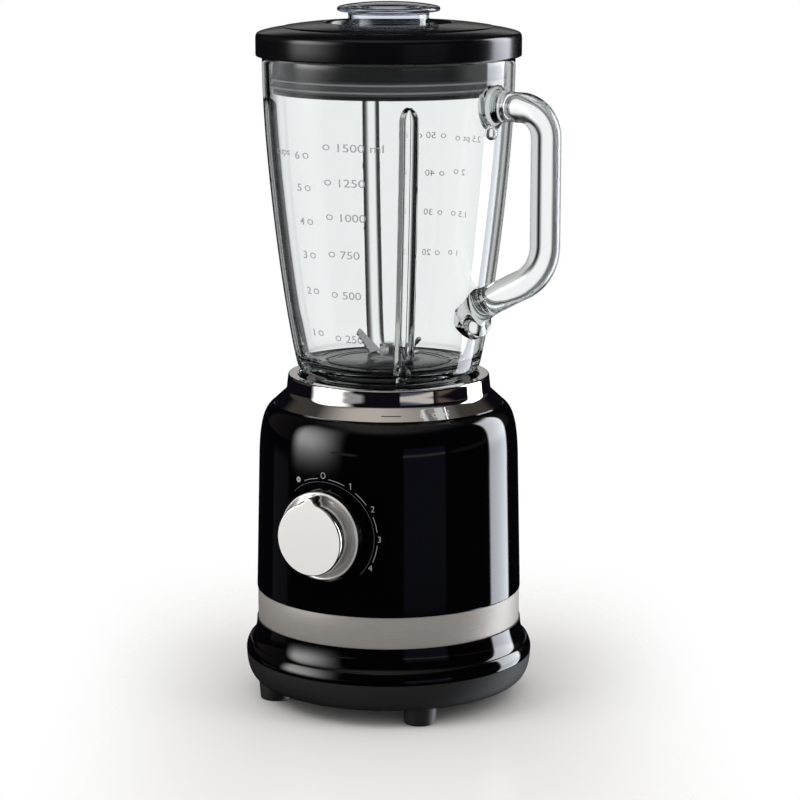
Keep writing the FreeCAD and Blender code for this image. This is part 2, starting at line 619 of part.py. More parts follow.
def rounded(pts, radii):
    """Straight runs joined by tangent arcs."""
    edges, cur = [], pts[0]
    for i in range(1, len(pts) - 1):
        a = (pts[i - 1] - pts[i]).normalize()
        b = (pts[i + 1] - pts[i]).normalize()
        half = a.getAngle(b) / 2
        r = radii[i - 1]
        t = r / math.tan(half)
        p0, p1 = pts[i] + a * t, pts[i] + b * t
        mid = pts[i] + (a + b).normalize() * (r / math.sin(half) - r)
        edges += [Part.LineSegment(cur, p0).toShape(), Part.Arc(p0, mid, p1).toShape()]
        cur = p1
    edges.append(Part.LineSegment(cur, pts[-1]).toShape())
    return Part.Wire(edges)


path = rounded(P, [17.0, 26.0])
sect = Part.Wire([Part.Circle(P[0], V(1, 0, 0), HANDLE_R).toShape()])
bar = path.makePipeShell([sect], True, False)
top_pad = Part.makeCone(13.0, HANDLE_R, 13.0, V(70.5, 0, 365.6), V(1, 0, 0))
ld = (P[2] - P[3]).normalize()
lo_start = P[3] + ld * 1.0
low_pad = Part.makeCone(14.5, HANDLE_R, 19.0, lo_start, ld)
bead1 = Part.makeSphere(5.0, V(73.6, 0, 349.8))
bead2 = Part.makeSphere(6.5, V(59.6, 0, 234.2))
body = body.fuse(bar).fuse(top_pad).fuse(low_pad).fuse(bead1).fuse(bead2)
jug = body.cut(cutter).removeSplitter()
jug = rz(jug, JUG_TURN)
js = sorted(jug.Solids, key=lambda s: -s.Volume)
save("glass_jug", js[0])


# ---------------------------------------------------------------- blades
def blade(side, plan, z_mid, t):
    """Strip bent in side view and trimmed to its plan outline."""
    top = [(x, z + t / 2) for x, z in side]
    bot = [(x, z - t / 2) for x, z in side][::-1]
    pts = [V(x, -20, z) for x, z in top + bot]
    f = Part.Face(Part.makePolygon(pts + [pts[0]])).extrude(V(0, 40, 0))
    return f.common(prism(plan, z_mid - 30, z_mid + 30)).cut(cyl(SHAFT_R, 150, 300))


def teeth(x0, x1, y0, y1, n, depth):
    pts = []
    for i in range(n):
        a, b = i / n, (i + 0.5) / n
        pts.append((x0 + (x1 - x0) * a, y0 + (y1 - y0) * a))
        pts.append((x0 + (x1 - x0) * b, y0 + (y1 - y0) * b - depth))
    pts.append((x1, y1))
    return pts


up_side = [(-22.5, 223.6), (-10.0, 211.2), (-7.6, 210.65), (7.6, 210.65), (10.0, 211.2), (22.5, 223.6)]
half = teeth(10.5, 21.0, 5.6, 4.4, 5, 1.1)
up_plan = [(-8, -6.5), (8, -6.5), (23, -1.4)] + [(21.0, 4.4)] + half[::-1][1:] + [(8, 6.5), (-8, 6.5), (-23, 1.4)] \
    + [(-x, -y) for x, y in ([(21.0, 4.4)] + half[::-1][1:])]
ub = blade(up_side, up_plan, 215, 1.5)
save("upper_blade", rz(ub, -5.0))

lo_side = [(-32.0, 207.6), (-9.0, 209.1), (9.0, 209.1), (32.0, 207.6)]
half = teeth(12.0, 28.0, 5.8, 3.6, 6, 1.1)
lo_plan = [(-9, -7.0), (9, -7.0), (32, -1.5)] + [(28.0, 3.6)] + half[::-1][1:] + [(9, 7.0), (-9, 7.0), (-32, 1.5)] \
    + [(-x, -y) for x, y in ([(28.0, 3.6)] + half[::-1][1:])]
lb = blade(lo_side, lo_plan, 208, 1.4)
save("lower_blade", rz(lb, -95.0))
save("blade_washer", ring(SHAFT_R, 7.2, 211.45, 212.7))
bn = hexa(11.0, 212.7, 217.0).common(Part.makeSphere(8.2, V(0, 0, 211.5))).cut(cyl(SHAFT_R, 200, 230))
save("blade_nut", bn)

# ---------------------------------------------------------------- lid and cap
lid = rev((69.0, 370.9), [
    ("L", (69.0, 373.0)), ("L", (67.0, 373.0)), ("L", (67.0, 381.5)), ("L", (69.2, 381.5)),
    ("L", (69.2, 392.8)), ("L", (78.2, 392.8)), ("A", (79.0, 393.12), (79.35, 393.9)),
    ("L", (79.35, 403.2)), ("A", (78.75, 405.4), (77.0, 407.0)),
    ("S", [(73.5, 408.1), (68.9, 409.0), (63.4, 409.8)]), ("L", (62.9, 410.4)),
    ("S", [(59.1, 410.9), (50.0, 411.8), (40.6, 412.3)]), ("A", (38.8, 412.1), (37.7, 410.9)),
    ("L", (36.6, 405.6)), ("A", (36.1, 404.8), (35.2, 404.5)), ("L", (29.0, 404.5)), ("L", (28.6, 407.6)), ("L", (24.6, 407.6)),
    ("L", (24.6, 388.0)), ("L", (27.0, 388.0)), ("L", (27.0, 401.7)), ("L", (38.9, 401.7)),
    ("L", (40.6, 409.4)), ("L", (62.0, 407.6)), ("L", (65.5, 406.4)), ("L", (65.5, 370.9))])
save("lid", lid)
lseal = poly([(67.0, 373.2), (68.7, 373.2), (68.9, 374.2), (70.3, 375.0), (70.3, 375.6), (68.9, 376.3),
              (68.9, 378.6), (70.6, 379.4), (70.6, 380.0), (68.9, 380.6), (68.7, 381.3), (67.0, 381.3)])
save("lid_seal", lseal)

mcap = rev((0, 421.9), [
    ("S", [(10.0, 421.6), (18.0, 420.5), (21.3, 419.3)]), ("L", (22.0, 418.0)), ("L", (22.3, 380.0)), ("L", (24.1, 380.0)),
    ("L", (24.1, 407.9)), ("L", (27.2, 407.9)), ("L", (27.2, 409.2)), ("L", (24.7, 409.8)), ("L", (24.2, 411.2)),
    ("L", (24.2, 417.3)), ("L", (25.2, 418.2)), ("L", (29.4, 418.2)), ("A", (30.9, 419.7), (29.9, 421.3)),
    ("S", [(22.0, 422.6), (11.0, 423.65), (0, TOTAL_H)])])
save("measuring_cap", mcap)

print(len(SEEN), "nodes")
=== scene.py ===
import math

import bpy
import bmesh
import numpy as np
from mathutils import Matrix, Vector


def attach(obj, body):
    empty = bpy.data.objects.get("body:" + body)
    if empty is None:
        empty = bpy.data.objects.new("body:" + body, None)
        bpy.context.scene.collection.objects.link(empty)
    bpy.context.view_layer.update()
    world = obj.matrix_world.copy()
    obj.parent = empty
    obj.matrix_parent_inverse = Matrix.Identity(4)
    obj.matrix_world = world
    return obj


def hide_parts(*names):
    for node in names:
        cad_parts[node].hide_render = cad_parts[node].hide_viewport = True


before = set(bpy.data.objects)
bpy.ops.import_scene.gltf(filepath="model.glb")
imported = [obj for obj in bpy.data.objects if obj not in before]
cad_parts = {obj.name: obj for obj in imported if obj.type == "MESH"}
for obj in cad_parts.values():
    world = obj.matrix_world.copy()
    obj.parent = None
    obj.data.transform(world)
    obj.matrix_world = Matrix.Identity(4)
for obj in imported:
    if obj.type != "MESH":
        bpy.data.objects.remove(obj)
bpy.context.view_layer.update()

scene = bpy.context.scene
MM = 0.001
JUG_TURN = math.radians(-5.5)


# ------------------------------------------------------------------ mesh helpers
def new_object(name, verts, faces, smooth_deg=38.0, mats=()):
    me = bpy.data.meshes.new(name)
    me.from_pydata([tuple(v) for v in verts], [], [tuple(f) for f in faces])
    me.validate()
    bm = bmesh.new()
    bm.from_mesh(me)
    bmesh.ops.recalc_face_normals(bm, faces=bm.faces)
    bm.to_mesh(me)
    bm.free()
    for p in me.polygons:
        p.use_smooth = True
    me.set_sharp_from_angle(angle=math.radians(smooth_deg))
    for m in mats:
        me.materials.append(m)
    ob = bpy.data.objects.new(name, me)
    scene.collection.objects.link(ob)
    return ob


def arc3(a, b, c, n=8):
    """Points on the circle through a, b, c from a to c, without a."""
    ax, ay = a
    bx, by = b
    cx, cy = c
    d = 2 * (ax * (by - cy) + bx * (cy - ay) + cx * (ay - by))
    ux = ((ax * ax + ay * ay) * (by - cy) + (bx * bx + by * by) * (cy - ay) + (cx * cx + cy * cy) * (ay - by)) / d
    uy = ((ax * ax + ay * ay) * (cx - bx) + (bx * bx + by * by) * (ax - cx) + (cx * cx + cy * cy) * (bx - ax)) / d
    r = math.hypot(ax - ux, ay - uy)
    t0 = math.atan2(ay - uy, ax - ux)
    t1 = math.atan2(by - uy, bx - ux)
    t2 = math.atan2(cy - uy, cx - ux)
    ccw = (t1 - t0) % (2 * math.pi) < (t2 - t0) % (2 * math.pi)
    span = (t2 - t0) % (2 * math.pi) if ccw else -((t0 - t2) % (2 * math.pi))
    return [(ux + r * math.cos(t0 + span * i / n), uy + r * math.sin(t0 + span * i / n)) for i in range(1, n + 1)]


def bez(p0, p1, p2, p3, n=24):
    out = []
    for i in range(1, n + 1):
        t = i / n
        a, b, c, d = (1 - t) ** 3, 3 * t * (1 - t) ** 2, 3 * t * t * (1 - t), t ** 3
        out.append((a * p0[0] + b * p1[0] + c * p2[0] + d * p3[0], a * p0[1] + b * p1[1] + c * p2[1] + d * p3[1]))
    return out


def rounded(pts, n=5, closed=True):
    """Outline from (r, z[, radius]) corners, each corner rounded by its radius."""
    out = []
    m = len(pts)
    for i in range(m):
        p = pts[i]
        rad = p[2] if len(p) > 2 else 0.0
        if rad <= 0 or (not closed and i in (0, m - 1)):
            out.append((p[0], p[1]))
            continue
        a = np.array(pts[(i - 1) % m][:2], float)
        b = np.array(pts[(i + 1) % m][:2], float)
        c = np.array(p[:2], float)
        u, v = a - c, b - c
        lu, lv = np.linalg.norm(u), np.linalg.norm(v)
        if lu < 1e-6 or lv < 1e-6:
            out.append((p[0], p[1]))
            continue
        u, v = u / lu, v / lv
        ang = math.acos(max(-1, min(1, float(u @ v))))
        if ang > math.radians(176):
            out.append((p[0], p[1]))
            continue
        t = min(rad / math.tan(ang / 2), 0.48 * lu, 0.48 * lv)
        r = t * math.tan(ang / 2)
        cen = c + (u + v) / np.linalg.norm(u + v) * (r / math.sin(ang / 2))
        s, e = c + u * t, c + v * t
        mid = cen + (c - cen) / np.linalg.norm(c - cen) * r
        out.append((float(s[0]), float(s[1])))
        out += arc3(tuple(s), tuple(mid), tuple(e), n)
    return out


def revolve_arrays(prof, seg=192, rfun=None, thetas=None):
    """Closed (r, z) outline turned about Z (mm in, metres out)."""
    if thetas is None:
        thetas = np.linspace(0, 2 * math.pi, seg, endpoint=False)
    seg = len(thetas)
    prof = [tuple(p) for p in prof]
    verts, faces = [], []
    index = []
    for k, (r, z) in enumerate(prof):
        if r < 1e-6:
            index.append([len(verts)])
            verts.append((0, 0, z * MM))
        else:
            index.append(list(range(len(verts), len(verts) + seg)))
            for th in thetas:
                rr = r if rfun is None else rfun(k, r, z, th)
                verts.append((rr * MM * math.cos(th), rr * MM * math.sin(th), z * MM))
    m = len(prof)
    for k in range(m):
        a, b = index[k], index[(k + 1) % m]
        if len(a) == 1 and len(b) == 1:
            continue
        for i in range(seg):
            j = (i + 1) % seg
            if len(a) == 1:
                faces.append((a[0], b[j], b[i]))
            elif len(b) == 1:
                faces.append((a[i], a[j], b[0]))
            else:
                faces.append((a[i], a[j], b[j], b[i]))
    return verts, faces


def revolve(name, prof, seg=192, mats=(), smooth_deg=38.0):
    v, f = revolve_arrays(prof, seg)
    return new_object(name, v, f, smooth_deg, mats)


def boolean(ob, other, op="DIFFERENCE", solver="EXACT"):
    md = ob.modifiers.new("b", "BOOLEAN")
    md.object = other
    md.operation = op
    md.solver = solver
    dg = bpy.context.evaluated_depsgraph_get()
    me = bpy.data.meshes.new_from_object(ob.evaluated_get(dg))
    ob.modifiers.clear()
    old = ob.data
    ob.data = me
    bpy.data.meshes.remove(old)
    bpy.data.objects.remove(other, do_unlink=True)
    return ob


def resmooth(ob, deg=38.0):
    me = ob.data
    for p in me.polygons:
        p.use_smooth = True
    me.set_sharp_from_angle(angle=math.radians(deg))


def join_arrays(parts):
    V_, F_ = [], []
    for v, f in parts:
        n = len(V_)
        V_ += [tuple(x) for x in v]
        F_ += [tuple(i + n for i in q) for q in f]
    return V_, F_


# ------------------------------------------------------------------ node helpers
class Nodes:
    def __init__(self, tree):
        self.t = tree
        self.n = tree.nodes
        self.l = tree.links

    def add(self, kind, **kw):
        node = self.n.new(kind)
        for k, v in kw.items():
            setattr(node, k, v)
        return node

    def put(self, sock, value):
        if hasattr(value, "links") or isinstance(value, bpy.types.NodeSocket):
            self.l.new(value, sock)
        else:
            sock.default_value = value

    def math(self, op, a, b=0.0, c=0.0, clamp=False):
        m = self.add("ShaderNodeMath", operation=op, use_clamp=clamp)
        self.put(m.inputs[0], a)
        self.put(m.inputs[1], b)
        if op in ("MULTIPLY_ADD", "COMPARE", "SMOOTH_MIN"):
            self.put(m.inputs[2], c)
        return m.outputs[0]

    def ramp(self, x, a, b, lo=0.0, hi=1.0, kind="SMOOTHSTEP"):
        m = self.add("ShaderNodeMapRange", interpolation_type=kind)
        self.put(m.inputs["Value"], x)
        self.put(m.inputs["From Min"], a)
        self.put(m.inputs["From Max"], b)
        self.put(m.inputs["To Min"], lo)
        self.put(m.inputs["To Max"], hi)
        return m.outputs[0]

    def window(self, x, a, b, s):
        return self.math("MULTIPLY", self.ramp(x, a - s, a + s), self.ramp(x, b - s, b + s, 1.0, 0.0))

    def noise(self, vec, scale, detail=4.0, rough=0.55, dim="3D"):
        t = self.add("ShaderNodeTexNoise", noise_dimensions=dim)
        if vec is not None:
            self.put(t.inputs["Vector"], vec)
        t.inputs["Scale"].default_value = scale
        t.inputs["Detail"].default_value = detail
        t.inputs["Roughness"].default_value = rough
        return t.outputs[0]

    def mixc(self, fac, a, b):
        m = self.add("ShaderNodeMix", data_type="RGBA")
        self.put(m.inputs[0], fac)
        self.put(m.inputs[6], a)
        self.put(m.inputs[7], b)
        return m.outputs[2]

    def mixf(self, fac, a, b):
        m = self.add("ShaderNodeMix", data_type="FLOAT")
        self.put(m.inputs[0], fac)
        self.put(m.inputs[2], a)
        self.put(m.inputs[3], b)
        return m.outputs[0]

    def bump(self, height, strength, dist):
        b = self.add("ShaderNodeBump")
        b.inputs["Strength"].default_value = strength
        b.inputs["Distance"].default_value = dist
        self.put(b.inputs["Height"], height)
        return b.outputs[0]


def material(name):
    m = bpy.data.materials.new(name)
    m.use_nodes = True
    nt = m.node_tree
    nt.nodes.clear()
    N = Nodes(nt)
    out = N.add("ShaderNodeOutputMaterial")
    p = N.add("ShaderNodeBsdfPrincipled")
    N.l.new(p.outputs[0], out.inputs["Surface"])
    return m, N, p, out


def coords(N):
    return N.add("ShaderNodeTexCoord").outputs["Object"]


def scaled(N, vec, s):
    mp = N.add("ShaderNodeMapping")
    mp.inputs["Scale"].default_value = s
    N.put(mp.inputs["Vector"], vec)
    return mp.outputs[0]


def plastic(name, color, rough, vary=0.04, scale=900.0, bump=0.02, dist=0.00005, spec=0.5, coat=0.0, coat_rough=0.03,
            tint=0.25, big=14.0):
    """Moulded plastic: fine grain, a little colour drift and a slow change of gloss."""
    m, N, p, out = material(name)
    co = coords(N)
    fine = N.noise(co, scale, 3.0)
    slow = N.noise(co, big, 2.0)
    c0 = [x * (1 - tint) for x in color] + [1]
    c1 = [x * (1 + tint) for x in color] + [1]
    N.put(p.inputs["Base Color"], N.mixc(slow, c0, c1))
    N.put(p.inputs["Roughness"], N.mixf(slow, max(0.0, rough - vary), rough + vary))
    p.inputs["Specular IOR Level"].default_value = spec
    p.inputs["Coat Weight"].default_value = coat
    p.inputs["Coat Roughness"].default_value = coat_rough
    if bump > 0:
        N.put(p.inputs["Normal"], N.bump(fine, bump, dist))
    return m


def metal(name, color, rough, vary=0.03, scale=300.0, stretch=(1, 1, 1), bump=0.0, dist=0.00002, big=20.0, tint=0.04):
    m, N, p, out = material(name)
    co = scaled(N, coords(N), stretch)
    fine = N.noise(co, scale, 4.0)
    slow = N.noise(co, big, 2.0)
    N.put(p.inputs["Base Color"], N.mixc(slow, [x * (1 - tint) for x in color] + [1], [min(1, x * (1 + tint)) for x in color] + [1]))
    N.put(p.inputs["Roughness"], N.mixf(fine, max(0.0, rough - vary), rough + vary))
    p.inputs["Metallic"].default_value = 1.0
    if bump > 0:
        N.put(p.inputs["Normal"], N.bump(fine, bump, dist))
    return m


# ------------------------------------------------------------------ materials
M = {}
M["gloss_black"] = plastic("gloss_black", (0.0006, 0.0006, 0.0009), 0.05, 0.015, 1400.0, 0.0, spec=0.5, big=9.0)
M["ring_black"] = plastic("ring_black", (0.0006, 0.0006, 0.0008), 0.06, 0.02, 1400.0, 0.0, spec=0.5, big=11.0)
M["charcoal"] = plastic("charcoal_plastic", (0.0115, 0.0115, 0.0125), 0.58, 0.05, 2600.0, 0.35, 0.00006, spec=0.22, big=16.0)
M["foot"] = plastic("foot_rubber", (0.010, 0.010, 0.010), 0.55, 0.06, 2200.0, 0.4, 0.00008)
M["seat"] = plastic("seat_plastic", (0.012, 0.012, 0.013), 0.30, 0.05, 1800.0, 0.15, 0.00005)
M["lid"] = plastic("lid_satin_black", (0.0016, 0.0016, 0.0020), 0.20, 0.02, 2400.0, 0.06, 0.00003, big=10.0)
M["carrier"] = plastic("carrier_black", (0.004, 0.004, 0.0045), 0.22, 0.05, 1800.0, 0.1, 0.00004)
M["inner_plastic"] = plastic("inner_plastic", (0.02, 0.02, 0.022), 0.4, 0.06, 1500.0, 0.2, 0.00006)
M["rubber"] = plastic("soft_rubber", (0.018, 0.018, 0.018), 0.6, 0.06, 1800.0, 0.4, 0.00008)
M["carbon"] = plastic("carbon_brush", (0.02, 0.02, 0.021), 0.5, 0.1, 2600.0, 0.5, 0.00008)
M["capacitor"] = plastic("capacitor_yellow", (0.62, 0.42, 0.04), 0.3, 0.05, 1200.0, 0.1, 0.00004, tint=0.08)
M["chrome"] = metal("bright_chrome", (0.82, 0.80, 0.785), 0.03, 0.01, 60.0, big=12.0, tint=0.02)
M["knob"] = metal("knob_chrome", (0.88, 0.865, 0.85), 0.12, 0.02, 60.0, big=12.0, tint=0.02)
M["screw"] = metal("screw_steel", (0.55, 0.55, 0.56), 0.28, 0.08, 400.0, bump=0.2)
M["lamination"] = metal("lamination_steel", (0.30, 0.30, 0.31), 0.45, 0.1, 900.0, (1, 1, 40), bump=0.6, dist=0.00005)
M["copper"] = metal("copper_wire", (0.55, 0.22, 0.09), 0.32, 0.08, 700.0, (1, 1, 3), bump=0.6, dist=0.0001)
M["alloy"] = metal("bracket_alloy", (0.58, 0.58, 0.59), 0.42, 0.08, 900.0, bump=0.4, dist=0.00006)
M["bronze"] = metal("bronze_bush", (0.45, 0.28, 0.13), 0.4, 0.08, 900.0, bump=0.3)
M["blade"] = metal("blade_steel", (0.50, 0.50, 0.51), 0.17, 0.07, 500.0, (1, 14, 1), bump=0.15, dist=0.00003, tint=0.08)
M["nut"] = metal("nut_steel", (0.58, 0.58, 0.59), 0.16, 0.05, 500.0, bump=0.08)


def board_material():
    m, N, p, out = material("board_green")
    co = coords(N)
    v = N.add("ShaderNodeTexVoronoi", feature="DISTANCE_TO_EDGE")
    N.put(v.inputs["Vector"], co)
    v.inputs["Scale"].default_value = 160.0
    line = N.ramp(v.outputs["Distance"], 0.02, 0.06)
    N.put(p.inputs["Base Color"], N.mixc(line, [0.10, 0.30, 0.13, 1], [0.02, 0.12, 0.05, 1]))
    N.put(p.inputs["Roughness"], N.mixf(line, 0.25, 0.4))
    return m


M["board"] = board_material()


def brushed_band():
    """Sheet steel brushed round its circumference."""
    m, N, p, out = material("brushed_band")
    co = coords(N)
    sep = N.add("ShaderNodeSeparateXYZ")
    N.put(sep.inputs[0], co)
    az = N.math("ARCTAN2", sep.outputs[1], sep.outputs[0])
    comb = N.add("ShaderNodeCombineXYZ")
    N.put(comb.inputs[0], N.math("MULTIPLY", az, 1.6))
    N.put(comb.inputs[1], N.math("MULTIPLY", sep.outputs[2], 5200.0))
    N.put(comb.inputs[2], 0.0)
    streak = N.noise(comb.outputs[0], 1.0, 5.0, 0.65)
    comb2 = N.add("ShaderNodeCombineXYZ")
    N.put(comb2.inputs[0], N.math("MULTIPLY", az, 9.0))
    N.put(comb2.inputs[1], N.math("MULTIPLY", sep.outputs[2], 1500.0))
    N.put(comb2.inputs[2], 3.0)
    streak2 = N.noise(comb2.outputs[0], 1.0, 3.0, 0.6)
    s = N.math("ADD", N.math("MULTIPLY", streak, 0.6), N.math("MULTIPLY", streak2, 0.4))
    N.put(p.inputs["Base Color"], N.mixc(s, [0.27, 0.252, 0.238, 1], [0.47, 0.44, 0.41, 1]))
    N.put(p.inputs["Roughness"], N.mixf(s, 0.36, 0.46))
    p.inputs["Metallic"].default_value = 0.45
    p.inputs["Specular IOR Level"].default_value = 0.3
    p.inputs["Anisotropic"].default_value = 0.6
    N.put(p.inputs["Normal"], N.bump(s, 0.35, 0.00004))
    tan = N.add("ShaderNodeTangent", direction_type="RADIAL", axis="Z")
    N.put(p.inputs["Tangent"], tan.outputs[0])
    return m


M["band"] = brushed_band()


def glass_material(name, color, absorb, density, ior=1.5, rough=0.0, wave=0.010, wave_scale=55.0):
    m, N, p, out = material(name)
    p.inputs["Base Color"].default_value = color
    p.inputs["Roughness"].default_value = rough
    p.inputs["IOR"].default_value = ior
    p.inputs["Transmission Weight"].default_value = 1.0
    co = coords(N)
    w = N.noise(scaled(N, co, (1.0, 1.0, 0.35)), wave_scale, 2.0, 0.4)
    N.put(p.inputs["Normal"], N.bump(w, wave, 0.001))
    if density > 0:
        ab = N.add("ShaderNodeVolumeAbsorption")
        ab.inputs["Color"].default_value = absorb
        ab.inputs["Density"].default_value = density
        N.l.new(ab.outputs[0], out.inputs["Volume"])
    return m


M["glass"] = glass_material("clear_glass", (0.985, 0.995, 0.99, 1), (0.72, 0.88, 0.82, 1), 5.5, 1.52, 0.0, 0.05, 26.0)
M["cap"] = glass_material("clear_cap", (0.90, 0.915, 0.96, 1), (0.70, 0.74, 0.86, 1), 26.0, 1.49, 0.0, 0.02, 60.0)


def seal_material():
    """Silicone seal: base colour painted dark where the black groove shows through it, with a painted highlight in pale
    colour on the lip tips.
    """
    m, N, p, out = material("clear_silicone")
    co = coords(N)
    sep = N.add("ShaderNodeSeparateXYZ")
    N.put(sep.inputs[0], co)
    r2 = N.math("ADD", N.math("MULTIPLY", sep.outputs[0], sep.outputs[0]), N.math("MULTIPLY", sep.outputs[1], sep.outputs[1]))
    # pale colour at the lip tips is a painted highlight: the bright lines the lips catch
    painted_lip_highlight = N.ramp(N.math("SQRT", r2), 0.0691, 0.0701)
    n = N.noise(co, 60.0, 3.0)
    # dark base colour is painted: the black groove behind showing through the clear silicone
    body = N.mixc(n, [0.070, 0.071, 0.074, 1], [0.100, 0.101, 0.105, 1])
    N.put(p.inputs["Base Color"], N.mixc(painted_lip_highlight, body, [0.42, 0.42, 0.43, 1]))
    N.put(p.inputs["Roughness"], N.mixf(n, 0.30, 0.42))
    return m


M["silicone"] = seal_material()


def print_material(name, color, rough=0.5, alpha=1.0):
    m, N, p, out = material(name)
    co = coords(N)
    n = N.noise(co, 1600.0, 3.0)
    N.put(p.inputs["Base Color"], N.mixc(n, [x * 0.9 for x in color] + [1], [min(1, x * 1.06) for x in color] + [1]))
    N.put(p.inputs["Roughness"], N.mixf(n, rough - 0.05, rough + 0.05))
    p.inputs["Alpha"].default_value = alpha
    return m


M["print"] = print_material("dial_print", (0.30, 0.30, 0.30))
# dim grey for the arc round the knob pad: a painted highlight on the pad's edge
M["print_dim"] = print_material("dial_print_dim", (0.085, 0.085, 0.09))
M["mark_dark"] = print_material("mark_dark", (0.012, 0.011, 0.011), 0.35)
M["mark_pale"] = print_material("mark_pale", (0.60, 0.58, 0.56), 0.4)
M["scale"] = print_material("scale_print", (0.34, 0.36, 0.37), 0.4, 0.62)

# ------------------------------------------------------------------ camera and studio
AZ = math.radians(30.0)
D = 1.6643
cam_data = bpy.data.cameras.new("camera")
cam = bpy.data.objects.new("camera", cam_data)
scene.collection.objects.link(cam)
scene.camera = cam
cam_data.sensor_width = 36.0
cam_data.lens = 2780.0 * 36.0 / 800.0
cam_data.shift_x = 0.0142
cam_data.clip_start, cam_data.clip_end = 0.05, 60.0
cam.location = (math.sin(AZ) * D, -math.cos(AZ) * D, 0.5101)
cam.rotation_euler = (math.radians(90.0 - 11.124), 0.0, AZ)

scene.view_settings.view_transform = "Standard"
scene.view_settings.look = "None"
scene.view_settings.exposure = 0.0
scene.view_settings.gamma = 1.0
scene.cycles.max_bounces = 18
scene.cycles.transmission_bounces = 18
scene.cycles.glossy_bounces = 8
scene.cycles.transparent_max_bounces = 16
scene.cycles.caustics_reflective = False
scene.cycles.caustics_refractive = True


